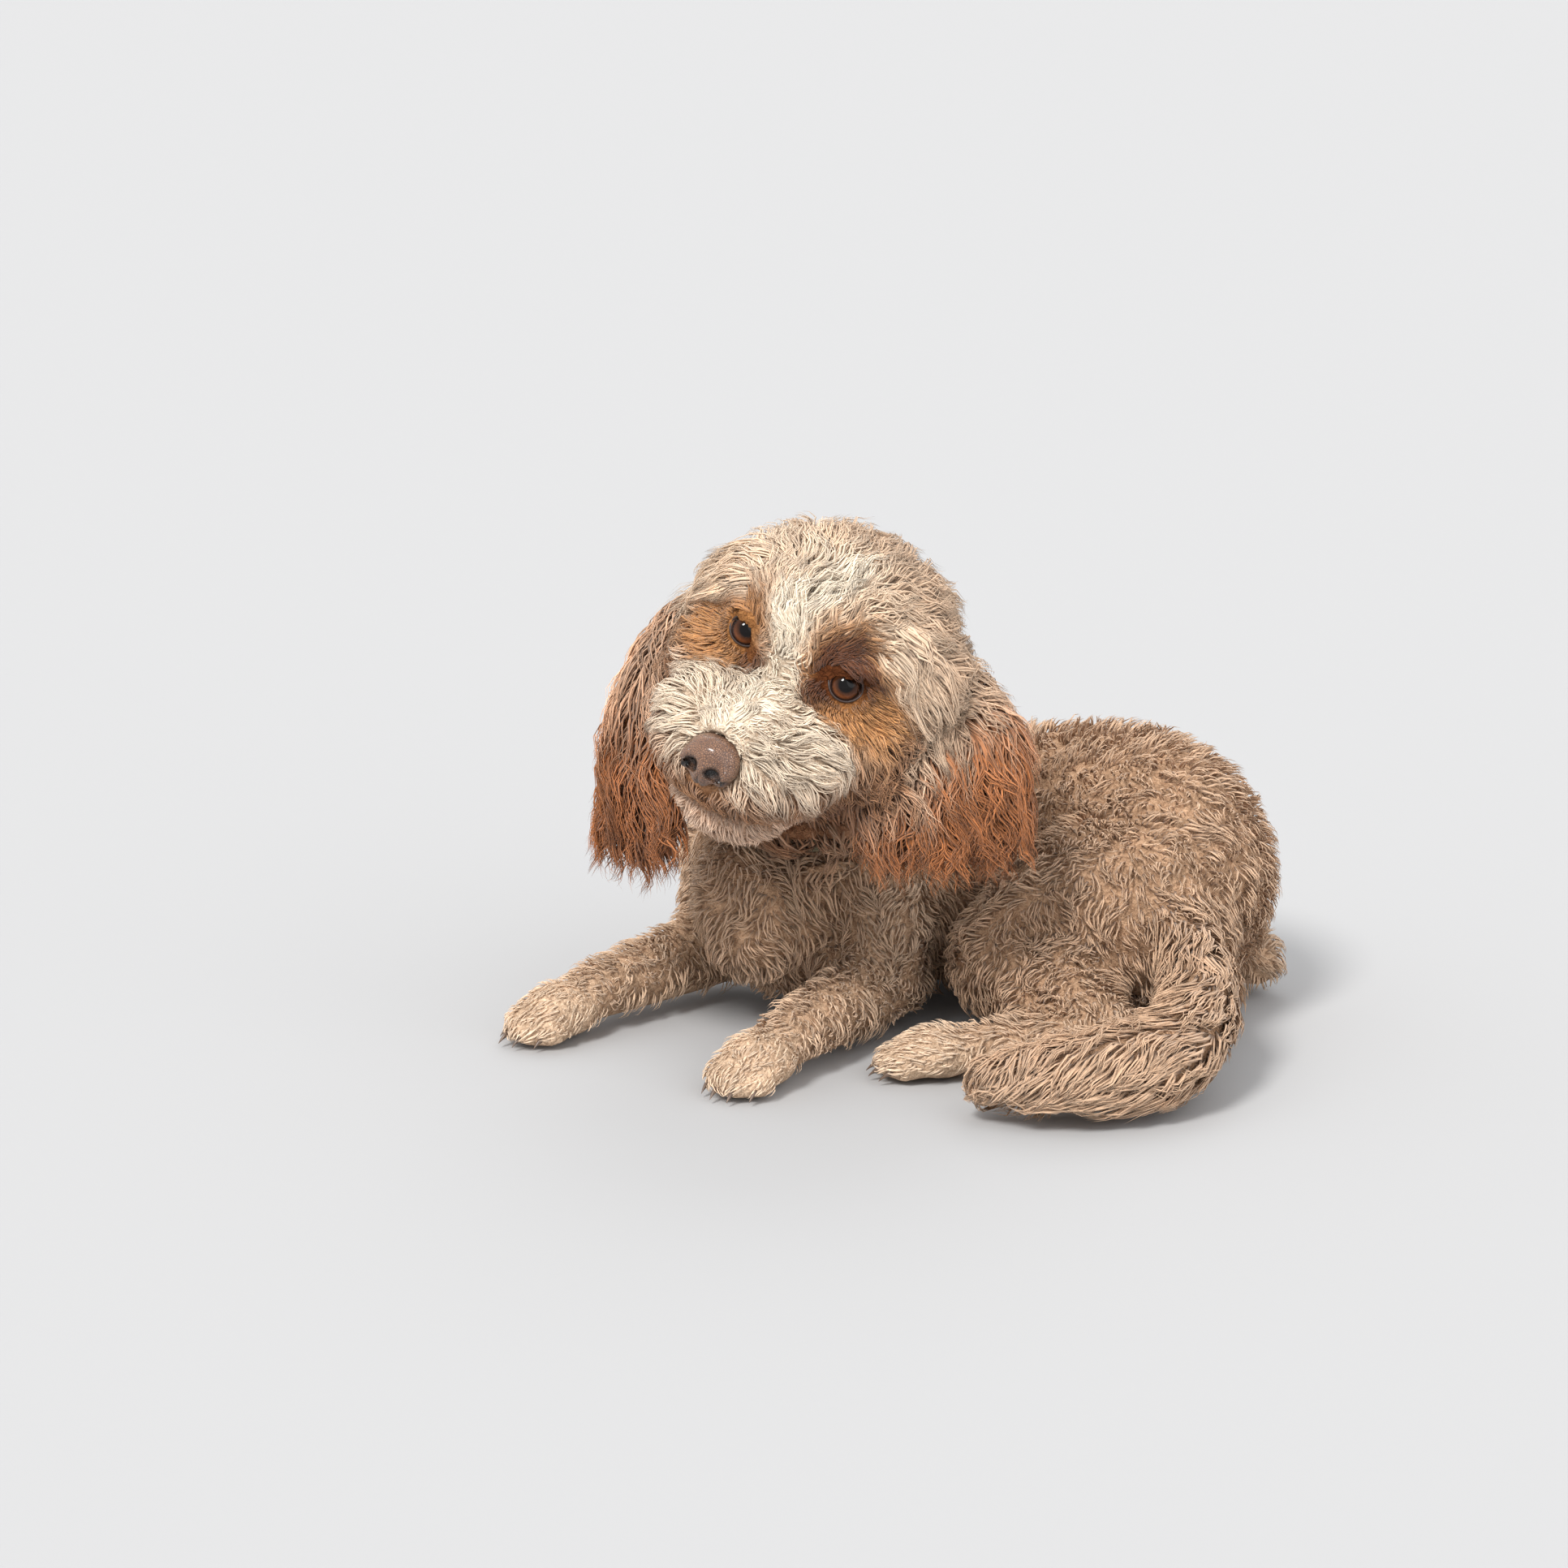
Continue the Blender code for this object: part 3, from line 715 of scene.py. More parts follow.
def lead_over_skin(root, length, steps, course, hang):
    """Each lock's way over the skin, with the skin's normals and the coat's depth along it. Locks that hang
    leave the skin where it turns under, and drop straight."""
    line = np.empty((len(root), steps + 1, 3))
    up = np.empty((len(root), steps + 1, 3))
    depth = np.empty((len(root), steps + 1))
    here = root.copy()
    heading = None
    free = np.zeros(len(root), bool)
    for k in range(steps + 1):
        near = nearest_on_skin(here)
        normal = skin_normals[near]
        if hang and k:
            free |= normal[:, 2] < -0.25
            normal = np.where(free[:, None], up[:, k - 1], normal)
        onto = here - normal * np.sum((here - skin_points[near]) * normal, 1, keepdims=True)
        here = np.where(free[:, None], here, onto)
        line[:, k], up[:, k], depth[:, k] = here, normal, coat["depth"][near]
        wanted = np.where(free[:, None], np.array([0, 0, -1.0]), course[near])
        flow = wanted if heading is None else unit(0.5 * wanted + 0.5 * heading)
        heading = flow
        here = here + flow * (length / steps)[:, None]
    return line, up, depth


def lock_points(line, up, width, t):
    """The corners of every lock's rings, and then its tip."""
    steps = len(t) - 1
    tangent = unit(np.gradient(line, axis=1))
    across = unit(np.cross(up, tangent))
    outward = np.cross(tangent, across)
    taper = (0.62 + 0.38 * np.sin(np.pi * np.minimum(1, t * 1.25 + 0.12))) * (1 - t ** 2.4)
    half = 0.5 * width[:, None] * taper[None, :]
    angles = np.radians([90.0, 210.0, 330.0])
    rings = (
        line[:, :steps, None, :]
        + across[:, :steps, None, :] * (half[:, :steps, None] * np.sin(angles) * -1.0)[..., None]
        + outward[:, :steps, None, :] * (half[:, :steps, None] * np.cos(angles) * 0.62)[..., None]
    )
    return np.concatenate([rings.reshape(len(line), -1, 3), line[:, steps:, :]], 1)


def triangle_mesh(name, points, corners):
    mesh = bpy.data.meshes.new(name)
    mesh.vertices.add(len(points))
    mesh.vertices.foreach_set("co", points.astype(np.float32).ravel())
    mesh.loops.add(len(corners))
    mesh.loops.foreach_set("vertex_index", corners.astype(np.int32))
    mesh.polygons.add(len(corners) // 3)
    mesh.polygons.foreach_set("loop_start", np.arange(0, len(corners), 3, dtype=np.int32))
    mesh.update(calc_edges=True)
    return mesh


def grow_locks(name, faces, density, count, steps, tuft, material, slot, longer=1.0, flick=0.0, sag=0.0,
               strays=0.03, over=1.0, course=lie, hang=False):
    """Roots are scattered, each lock is led over the skin along the lie of the coat, neighbours gather in
    tufts, and each tuft waves as one."""
    chosen, mix = scatter(faces, density, count)
    root = blended(skin_points, chosen, mix)
    values = {key: blended(table, chosen, mix) for key, table in coat.items()}
    length = values["length"] * MM * longer * rng.uniform(0.72, 1.18, count)
    width = values["width"] * MM * rng.uniform(0.65, 1.25, count)
    guides = rng.choice(count, max(4, count // tuft), replace=False)
    guide_tree = tree_of(root[guides])
    group = np.array([guide_tree.find(p)[1] for p in root])
    length = 0.35 * length + 0.65 * length[guides][group]
    stray = rng.random(count) < strays
    length = np.where(stray, length * rng.uniform(1.1, 1.5, count), length)
    width = np.where(stray, width * 0.6, width)
    if hang:
        bottom = skin_points[skin_triangles[faces].ravel(), 2].min()
        length = np.minimum(length, (0.014 + 0.55 * (root[:, 2] - bottom)) * rng.uniform(0.7, 1.3, count))
    line, up, depth = lead_over_skin(root, length, steps, course, hang)
    t = np.linspace(0, 1, steps + 1)
    lift = 1 - (1 - t) ** 2.0
    stand = rng.uniform(0.55, 1.12, count) * (0.85 + 0.3 * rng.random(len(guides))[group])
    height = over * depth * MM * lift * stand[:, None] - 0.0008 * (t == 0)
    line = line + up * height[:, :, None]
    pull = (values["gather"] * np.where(stray, 0.35, 1.0))[:, None] * t ** 1.3
    target = line[guides][group]
    line = line + (target - line) * pull[:, :, None]
    tangent = unit(np.gradient(line, axis=1))
    across = unit(np.cross(up, tangent))
    drift = 9.0 * ripple(root[guides], 0.022, 7.7) + rng.normal(0, 0.7, len(guides))
    phase = drift[group] + rng.normal(0, 0.35, count)
    turns = values["turns"] * (0.75 + 0.5 * rng.random(len(guides)))[group]
    angle = phase[:, None] + FULL_TURN * turns[:, None] * t[None, :]
    swing = (values["wave"] * MM)[:, None] * np.minimum(1, 0.15 + 1.1 * t)[None, :]
    swing = swing * rng.uniform(0.6, 1.2, count)[:, None]
    line = line + across * (swing * (np.sin(angle) - np.sin(phase)[:, None] * (1 - t)))[:, :, None]
    line = line + up * (0.45 * swing * (np.cos(angle) - np.cos(phase)[:, None] * (1 - t)))[:, :, None]
    line = line + up * (flick * MM * rng.random(count)[:, None] * t ** 2)[:, :, None]
    line[:, :, 2] -= sag * MM * t ** 2 * rng.random(count)[:, None]
    line[:, :, 2] = np.maximum(line[:, :, 2], LOCK_FLOOR_GAP)
    verts = lock_points(line, up, width, t)
    pattern, places = lock_pattern(steps)
    per_lock = 3 * steps + 1
    corners = (pattern[None] + (np.arange(count) * per_lock)[:, None, None]).reshape(-1)
    mesh = triangle_mesh(name, verts.reshape(-1, 3), corners)
    chart = unwrap_patch(name + "_map", np.isin(np.arange(len(skin.data.polygons)), FACE_OF_TRIANGLE[faces]))
    spot = np.sum(chart[skin_loops[chosen]] * mix[:, :, None], 1)
    uv = spot[:, None, None, :] * (1 - PATCH) + PATCH * (places[None] * 0.8 + 0.18)
    layer = mesh.uv_layers.new(name="OFBake")
    layer.uv.foreach_set("vector", uv.astype(np.float32).ravel())
    mark_mesh(mesh, {key: np.repeat(blended(table, chosen, mix), per_lock) for key, table in marks.items()})
    along = np.concatenate([np.repeat(t[:steps], 3), [1.0]])
    lock_tone, tuft_tone = rng.random(count), rng.random(len(guides))[group]
    store_colour(mesh, "strand", columns(
        np.tile(along, count), np.repeat(lock_tone, per_lock), np.repeat(tuft_tone, per_lock), 1,
    ))
    fibre = mesh.attributes.new("fibre", "FLOAT_VECTOR", "POINT")
    ring_place = np.concatenate([np.tile([0.0, 1.5, 1.0], steps), [0.5]])
    grain = columns(
        (width[:, None] / MM * ring_place[None]).ravel(), (length[:, None] / MM * along[None]).ravel(),
        np.repeat(lock_tone * 400, per_lock),
    )
    fibre.data.foreach_set("vector", grain.astype(np.float32).ravel())
    mesh.polygons.foreach_set("use_smooth", np.ones(len(mesh.polygons), bool))
    mesh.materials.append(material)
    piece = add_to_scene(name, mesh)
    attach(piece, "root")
    return piece


# ---------------------------------------------------------------- finishes

def new_material(name):
    material = bpy.data.materials.new(name)
    material.use_nodes = True
    nodes, links = material.node_tree.nodes, material.node_tree.links
    return material, nodes, links, nodes["Principled BSDF"]


def group_socket(group, name, kind, direction, value=None):
    socket = group.interface.new_socket(name, in_out=direction, socket_type=kind)
    if value is not None:
        socket.default_value = value
    return socket


def feed(links, socket, value):
    if isinstance(value, bpy.types.NodeSocket):
        links.new(value, socket)
    else:
        socket.default_value = value


def set_inputs(node, **values):
    for name, value in values.items():
        node.inputs[name.replace("_", " ")].default_value = value


def mix_colour(nodes, links, factor, a, b, blend="MIX"):
    node = nodes.new("ShaderNodeMix")
    node.data_type = "RGBA"
    node.blend_type = blend
    for socket, value in ((node.inputs[0], factor), (node.inputs[6], a), (node.inputs[7], b)):
        feed(links, socket, value)
    return node.outputs[2]


def sum_of(nodes, links, operation, a, b, clamp=False):
    node = nodes.new("ShaderNodeMath")
    node.operation = operation
    node.use_clamp = clamp
    for socket, value in zip(node.inputs, (a, b)):
        feed(links, socket, value)
    return node.outputs[0]


def toned(nodes, links, colour, tone):
    """A colour multiplied by a value."""
    grey = nodes.new("ShaderNodeCombineColor")
    for socket in grey.inputs:
        links.new(tone, socket)
    return mix_colour(nodes, links, 1.0, colour, grey.outputs[0], "MULTIPLY")


def read_attribute(nodes, name):
    attribute = nodes.new("ShaderNodeAttribute")
    attribute.attribute_name = name
    return attribute


def channels_of(nodes, links, attribute):
    split = nodes.new("ShaderNodeSeparateColor")
    links.new(attribute.outputs["Color"], split.inputs[0])
    return split.outputs


def object_noise(nodes, links, scale, detail=2.0, distortion=0.0):
    spot = nodes.new("ShaderNodeTexCoord")
    grain = nodes.new("ShaderNodeTexNoise")
    set_inputs(grain, Scale=scale, Detail=detail, Distortion=distortion)
    links.new(spot.outputs["Object"], grain.inputs["Vector"])
    return grain.outputs[0]


def add_bump(nodes, links, surface, height, strength, distance):
    bump = nodes.new("ShaderNodeBump")
    set_inputs(bump, Strength=strength, Distance=distance)
    links.new(height, bump.inputs["Height"])
    links.new(bump.outputs[0], surface.inputs["Normal"])


# The jaw colour is dark rust with painted shade under the head in it.
COAT_COLOURS = {
    "Cream": (0.87, 0.66, 0.475, 1), "White": (0.93, 0.80, 0.635, 1), "Rust": (0.62, 0.30, 0.11, 1),
    "Copper": (0.325, 0.116, 0.036, 1), "Fawn": (0.62, 0.41, 0.265, 1), "Lip": (0.47, 0.235, 0.115, 1),
    "Chin": (0.84, 0.585, 0.42, 1), "Dark": (0.14, 0.045, 0.015, 1), "Shaded_jaw": (0.22, 0.085, 0.032, 1),
}


def markings_group():
    """The dog's markings, as skin and coat share them, with painted shade under the jaw, along the mouth line
    and on the dog's left of the head.
    """
    group = bpy.data.node_groups.new("Dog markings", "ShaderNodeTree")
    for name, colour in COAT_COLOURS.items():
        group_socket(group, name, "NodeSocketColor", "INPUT", colour)
    group_socket(group, "Mottle", "NodeSocketFloat", "INPUT", 0.25)
    group_socket(group, "Colour", "NodeSocketColor", "OUTPUT")
    nodes, links = group.nodes, group.links
    entry, leave = nodes.new("NodeGroupInput"), nodes.new("NodeGroupOutput")
    colour = entry.outputs["Cream"]
    order = (
        ("markings", 3, "Fawn"), ("markings_more", 0, "Lip"), ("markings", 2, "Copper"),
        ("markings_more", 3, "Shaded_jaw"), ("markings_more", 1, "Chin"), ("markings", 0, "White"),
        ("markings", 1, "Rust"), ("markings_more", 2, "Dark"),
    )
    read = {}
    for layer in MARK_LAYERS:
        attribute = read_attribute(nodes, layer)
        read[layer] = (*channels_of(nodes, links, attribute), attribute.outputs["Alpha"])
    for layer, channel, name in order:
        colour = mix_colour(nodes, links, read[layer][channel], colour, entry.outputs[name])
    swing = sum_of(nodes, links, "SUBTRACT", object_noise(nodes, links, 90.0, 3.0), 0.5)
    swing = sum_of(nodes, links, "MULTIPLY", swing, entry.outputs["Mottle"])
    tone = sum_of(nodes, links, "ADD", swing, 1.0)
    colour = toned(nodes, links, colour, tone)
    links.new(colour, leave.inputs["Colour"])
    return group


def hair_group():
    """Paints shade at a lock's root, deep in the coat, lightens its tip and sets each lock and tuft a little
    apart.
    """
    group = bpy.data.node_groups.new("Lock shading", "ShaderNodeTree")
    group_socket(group, "Colour", "NodeSocketColor", "INPUT", (0.7, 0.55, 0.4, 1))
    # Root sets the painted shade at the root of each lock; Tip lightens its tip.
    for name, value in (
        ("Root", 0.55), ("Tip", 1.18), ("Lock spread", 0.25), ("Tuft spread", 0.25), ("Hair streaks", 0.5),
    ):
        group_socket(group, name, "NodeSocketFloat", "INPUT", value)
    group_socket(group, "Colour", "NodeSocketColor", "OUTPUT")
    group_socket(group, "Height", "NodeSocketFloat", "OUTPUT")
    nodes, links = group.nodes, group.links
    entry, leave = nodes.new("NodeGroupInput"), nodes.new("NodeGroupOutput")
    facts = channels_of(nodes, links, read_attribute(nodes, "strand"))
    reach = sum_of(nodes, links, "POWER", facts[0], 0.7)
    span = sum_of(nodes, links, "SUBTRACT", entry.outputs["Tip"], entry.outputs["Root"])
    tone = sum_of(nodes, links, "MULTIPLY", reach, span)
    tone = sum_of(nodes, links, "ADD", tone, entry.outputs["Root"])
    for channel, spread in ((1, "Lock spread"), (2, "Tuft spread")):
        swing = sum_of(nodes, links, "SUBTRACT", facts[channel], 0.5)
        swing = sum_of(nodes, links, "MULTIPLY", swing, entry.outputs[spread])
        swing = sum_of(nodes, links, "ADD", swing, 1.0)
        tone = sum_of(nodes, links, "MULTIPLY", tone, swing)
    fibre = read_attribute(nodes, "fibre")
    stretch = nodes.new("ShaderNodeVectorMath")
    stretch.operation = "MULTIPLY"
    stretch.inputs[1].default_value = (2.6, 0.16, 1.0)
    links.new(fibre.outputs["Vector"], stretch.inputs[0])
    hairs = nodes.new("ShaderNodeTexNoise")
    set_inputs(hairs, Scale=1.0, Detail=1.5)
    links.new(stretch.outputs[0], hairs.inputs["Vector"])
    streak = sum_of(nodes, links, "SUBTRACT", hairs.outputs[0], 0.5)
    streak = sum_of(nodes, links, "MULTIPLY", streak, entry.outputs["Hair streaks"])
    streak = sum_of(nodes, links, "MULTIPLY", streak, 2.2)
    streak = sum_of(nodes, links, "ADD", streak, 1.0)
    tone = sum_of(nodes, links, "MULTIPLY", tone, streak)
    colour = toned(nodes, links, entry.outputs["Colour"], tone)
    links.new(colour, leave.inputs["Colour"])
    links.new(hairs.outputs[0], leave.inputs["Height"])
    return group


MARKINGS = markings_group()
LOCK_SHADING = hair_group()


def place_group(nodes, group, **values):
    node = nodes.new("ShaderNodeGroup")
    node.node_tree = group
    set_inputs(node, **values)
    return node


# root is the painted shade at each lock's root, tip the lightening at its tip.
def coat_finish(name, root=0.5, tip=1.12, lock_spread=0.28, tuft_spread=0.25, roughness=0.62):
    material, nodes, links, surface = new_material(name)
    pattern = place_group(nodes, MARKINGS, Mottle=0.35)
    shading = place_group(nodes, LOCK_SHADING, Root=root, Tip=tip, Lock_spread=lock_spread,
                          Tuft_spread=tuft_spread)
    links.new(pattern.outputs[0], shading.inputs["Colour"])
    links.new(shading.outputs["Colour"], surface.inputs["Base Color"])
    add_bump(nodes, links, surface, shading.outputs["Height"], 0.7, 0.0005)
    set_inputs(surface, Roughness=roughness, Specular_IOR_Level=0.25, Sheen_Weight=0.2, Sheen_Roughness=0.5)
    return material


def skin_finish():
    material, nodes, links, surface = new_material("Undercoat")
    pattern = place_group(nodes, MARKINGS, Mottle=0.9)
    # The hollows between the curls are painted darker: painted shade in the undercoat.
    curls = object_noise(nodes, links, 330.0, 4.0, 1.5)
    depth = sum_of(nodes, links, "SUBTRACT", curls, 0.35)
    depth = sum_of(nodes, links, "MULTIPLY", depth, 3.0, True)
    shade = mix_colour(nodes, links, depth, (0.50, 0.44, 0.40, 1), (1.0, 0.98, 0.96, 1))
    shade = mix_colour(nodes, links, 1.0, pattern.outputs[0], shade, "MULTIPLY")
    links.new(shade, surface.inputs["Base Color"])
    add_bump(nodes, links, surface, curls, 1.0, 0.0025)
    set_inputs(surface, Roughness=0.85, Specular_IOR_Level=0.1)
    return material


skin.data.materials.clear()
skin.data.materials.append(skin_finish())
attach(skin, "root")
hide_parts(*FLESH)

FACE_OF_TRIANGLE = np.empty(len(skin.data.loop_triangles), np.int32)
skin.data.loop_triangles.foreach_get("polygon_index", FACE_OF_TRIANGLE)

unwrap_patch("OFBake", np.ones(len(skin.data.polygons), bool))


# ---------------------------------------------------------------- coat pieces

def vertex_mask_faces(mask):
    return np.where(mask[skin_triangles].sum(1) >= 2)[0]


hx, hy, hz = head_places.T
eye_gap = eye_distance(head_places)
snout_zone = on_head & (((hy < -12) & (hz < 6) & (eye_gap > 24)) | (hz < -52) & (hy < 10))
face_zone = on_head & ~snout_zone & ((eye_gap < 30) | ((np.abs(hx) < 26) & (hy < 6) & (hz < 26)))
open_eye = np.zeros(len(skin_points), bool)
for at in EYES.values():
    _, reach, angle = around_eye(skin_points, at)
    open_eye |= (reach < 0.018) & (angle < 59)
in_nose = np.linalg.norm(head_places - NOSE_MIDDLE - np.array([0, -2, 0]), axis=1) < 13.0
bare = open_eye | in_nose
floor_facing = (skin_normals[:, 2] < -0.45) & (skin_points[:, 2] < 0.012)
cover = np.where(bare | floor_facing, 0.0, 1.0)
temple_zone = on_head & (np.abs(hx) > 27) & (hy > -10) & (hy < 34) & (hz > 16) & (hz < 40)
zones = {
    "face": face_zone,
    "snout": snout_zone,
    "topknot_left": on_head & ~face_zone & ~snout_zone & (hx >= 0),
    "topknot_right": on_head & ~face_zone & ~snout_zone & (hx < 0),
    "temples": temple_zone,
    "ear_left": skin_parts == FLESH.index("ear_left"),
    "ear_right": skin_parts == FLESH.index("ear_right"),
    "neck": skin_kinds == "neck",
    "body": np.isin(skin_kinds, ("chest", "belly", "rump")),
    "thighs": np.isin(skin_kinds, ("thigh", "tail")),
    "legs": np.isin(skin_kinds, ("foreleg", "hindleg", "forepaw", "hindpaw")),
}
# Each coat finish: painted shade at the locks' roots, lighter tips, then how far locks and tufts differ in
# tone.
head_coat = coat_finish("Topknot coat", 0.62, 1.15, 0.20, 0.32)
face_coat = coat_finish("Face coat", 0.66, 1.18, 0.26, 0.34)
curtain_coat = coat_finish("Curtain coat", 0.80, 1.12, 0.35, 0.30, 0.5)
ear_coat = coat_finish("Ear coat", 0.50, 1.60, 0.80, 0.60, 0.5)
body_coat = coat_finish("Body coat", 0.80, 1.12, 0.20, 0.22)
ear_ways = dict(flick=4.0, sag=10.0, strays=0.08, hang=True)
LOCKS = (
    ("coat_topknot_left", "topknot_left", 4000, 6, 12, head_coat, "coat_cream", dict(flick=3.5)),
    ("coat_topknot_right", "topknot_right", 3200, 6, 12, head_coat, "coat_cream", dict(flick=3.5)),
    ("coat_face", "face", 6000, 3, 8, face_coat, "coat_cream", {}),
    ("coat_snout", "snout", 5300, 5, 15, face_coat, "coat_cream", dict(flick=2.0)),
    ("coat_temples", "temples", 1400, 8, 20, curtain_coat, "coat_cream",
     dict(longer=1.9, over=1.35, strays=0.06, course=curtain_course)),
    ("coat_ear_left", "ear_left", 2000, 9, 12, ear_coat, "coat_rust", ear_ways),
    ("coat_ear_right", "ear_right", 1800, 9, 12, ear_coat, "coat_rust", ear_ways),
    ("coat_neck", "neck", 2100, 4, 9, body_coat, "coat_fawn", {}),
    ("coat_body", "body", 9800, 3, 5, body_coat, "coat_fawn", {}),
    ("coat_thighs", "thighs", 6200, 3, 5, body_coat, "coat_fawn", {}),
    ("coat_legs", "legs", 5000, 3, 5, body_coat, "coat_fawn", {}),
)
for name, zone, count, steps, tuft, finish, slot_name, extra in LOCKS:
    faces = vertex_mask_faces(zones[zone])
    density = cover[skin_triangles[faces]].min(1)
    grow_locks(name, faces, density, count, steps, tuft, finish, slot_name, **extra)


# ---------------------------------------------------------------- eyes

def eye_axes(at):
    gaze = (LOOKS_AT - at).normalized()
    wide = (HEAD_X - gaze * HEAD_X.dot(gaze)).normalized()
    tall = wide.cross(-gaze).normalized()
    return np.array([wide, tall, gaze])


def eye_finish():
    material, nodes, links, surface = new_material("Brown eye")
    facts = channels_of(nodes, links, read_attribute(nodes, "iris"))
    ramp = nodes.new("ShaderNodeValToRGB")
    stops = (
        (0.0, (0.002, 0.001, 0.001)), (0.315, (0.002, 0.001, 0.001)), (0.375, (0.020, 0.007, 0.003)),
        (0.58, (0.065, 0.021, 0.008)), (0.68, (0.050, 0.016, 0.006)), (0.76, (0.008, 0.004, 0.003)),
        (0.86, (0.012, 0.006, 0.005)), (0.93, (0.10, 0.06, 0.05)),
    )
    ramp.color_ramp.elements.remove(ramp.color_ramp.elements[1])
    for k, (place, colour) in enumerate(stops):
        element = ramp.color_ramp.elements[0] if k == 0 else ramp.color_ramp.elements.new(place)
        element.position = place
        element.color = (*colour, 1)
    links.new(facts[0], ramp.inputs[0])
    # The lower iris is painted lighter, where light through the cornea falls on it: painted light.
    glow = sum_of(nodes, links, "MULTIPLY", facts[1], 2.2)
    glow = sum_of(nodes, links, "ADD", glow, 0.75)
    grain = sum_of(nodes, links, "MULTIPLY", object_noise(nodes, links, 900.0), 0.8)
    grain = sum_of(nodes, links, "ADD", grain, 0.6)
    glow = sum_of(nodes, links, "MULTIPLY", glow, grain)
    colour = toned(nodes, links, ramp.outputs[0], glow)
    links.new(colour, surface.inputs["Base Color"])
    set_inputs(surface, Roughness=0.25, Specular_IOR_Level=0.0, Coat_Weight=0.6, Coat_IOR=1.42,
               Coat_Roughness=0.015)
    return material


EYE_MATERIAL = eye_finish()
CORNEA_RISE = 0.0007


def make_eye(side):
    at = EYES[side]
    axes = eye_axes(at)
    ball = add_sphere(64, 48, "eyeball_" + side)
    local = points_of(ball)
    slant = np.degrees(np.arccos(np.clip(local[:, 2], -1, 1)))
    bulge = CORNEA_RISE * step_down(18, 52, slant)
    co = local * (EYE_RADIUS - 0.0002 + bulge)[:, None] @ axes + np.array(at)
    set_points(ball, co)
    # lower marks the lower iris for its painted light.
    lower = np.clip(-local[:, 1] * 1.3, 0, 1) * (slant < 60)
    store_colour(ball.data, "iris", columns(np.clip(slant / 60, 0, 1), lower, 0, 1))
    cover_in(ball, EYE_MATERIAL)
    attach(ball, "root")
    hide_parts("eye_" + side)


def rim_finish():
    material, nodes, links, surface = new_material("Dark lid leather")
    grain = object_noise(nodes, links, 1400.0)
    colour = mix_colour(nodes, links, grain, (0.010, 0.006, 0.005, 1), (0.055, 0.028, 0.02, 1))
    links.new(colour, surface.inputs["Base Color"])
    add_bump(nodes, links, surface, grain, 0.4, 0.0003)
    surface.inputs["Roughness"].default_value = 0.38
    return material


RIM_MATERIAL = rim_finish()


def gap_round(around, place):
    gap = np.abs(around - place)
    return np.minimum(gap, 2 * np.pi - gap)


def lid_opening(around, side):
    """Half angle of the eye's opening, in degrees, round the gaze: 0 at the dog's left, 90 upwards."""
    inner = math.pi if side == "left" else 0.0
    base = 50 + 2.5 * np.cos(2 * around) - 1.0 * np.sin(around)
    corner = 9 * np.exp(-(gap_round(around, inner) / 0.30) ** 2)
    end = 5 * np.exp(-(gap_round(around, math.pi - inner) / 0.35) ** 2)
    return base + corner + end


def make_lids(side):
    """A closed ring of lid leather: its margin rests on the eyeball and its outer edge runs under the coat."""
    at = EYES[side]
    axes = eye_axes(at)
    count = 72
    profile = ((1.5, 10.7), (0.0, 11.15), (1.0, 11.6), (3.0, 11.9), (5.5, 11.8), (9.0, 11.3), (14.0, 10.7),
               (13.0, 10.2), (7.0, 10.3))
    bpy.ops.object.select_all(action="DESELECT")
    bpy.ops.mesh.primitive_grid_add(x_subdivisions=count, y_subdivisions=len(profile), size=1.0)
    lids = bpy.context.object
    lids.name = lids.data.name = "lids_" + side
    grid = points_of(lids)
    around = (grid[:, 0] + 0.5) * 2 * np.pi
    row = np.rint((grid[:, 1] + 0.5) * len(profile)).astype(int) % len(profile)
    spread, radius = np.array(profile)[row].T
    slant = np.radians(lid_opening(around % (2 * np.pi), side) + spread)
    reach = radius * MM * (EYE_RADIUS / 0.011)
    local = columns(np.sin(slant) * np.cos(around), np.sin(slant) * np.sin(around), np.cos(slant))
    set_points(lids, local * reach[:, None] @ axes + np.array(at))
    in_edit(
        lids,
        lambda: bpy.ops.mesh.remove_doubles(threshold=1e-5),
        lambda: bpy.ops.mesh.normals_make_consistent(inside=False),
    )
    apply_modifier(lids, "SUBSURF", levels=1, render_levels=1)
    cover_in(lids, RIM_MATERIAL)
    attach(lids, "root")


for side in EYES:
    make_eye(side)
    make_lids(side)


# ---------------------------------------------------------------- nose

def nose_finish():
    material, nodes, links, surface = new_material("Nose leather")
    spot = nodes.new("ShaderNodeTexCoord")
    pebbles = nodes.new("ShaderNodeTexVoronoi")
    pebbles.feature = "DISTANCE_TO_EDGE"
    pebbles.inputs["Scale"].default_value = 900.0
    links.new(spot.outputs["Object"], pebbles.inputs["Vector"])
    patches = object_noise(nodes, links, 130.0, 5.0)
    colour = mix_colour(nodes, links, patches, (0.125, 0.058, 0.032, 1), (0.37, 0.19, 0.105, 1))
    edge = sum_of(nodes, links, "MULTIPLY", pebbles.outputs["Distance"], 6.0, True)
    colour = mix_colour(nodes, links, edge, (0.07, 0.034, 0.026, 1), colour)
    # The nostrils, the groove and the lower nose are painted darker: painted shade.
    hole = read_attribute(nodes, "painted_nose_shade")
    colour = mix_colour(nodes, links, hole.outputs["Fac"], colour, (0.006, 0.004, 0.004, 1))
    links.new(colour, surface.inputs["Base Color"])
    add_bump(nodes, links, surface, edge, 0.65, 0.0006)
    set_inputs(surface, Roughness=0.32, Coat_Weight=0.5, Coat_Roughness=0.2)
    return material


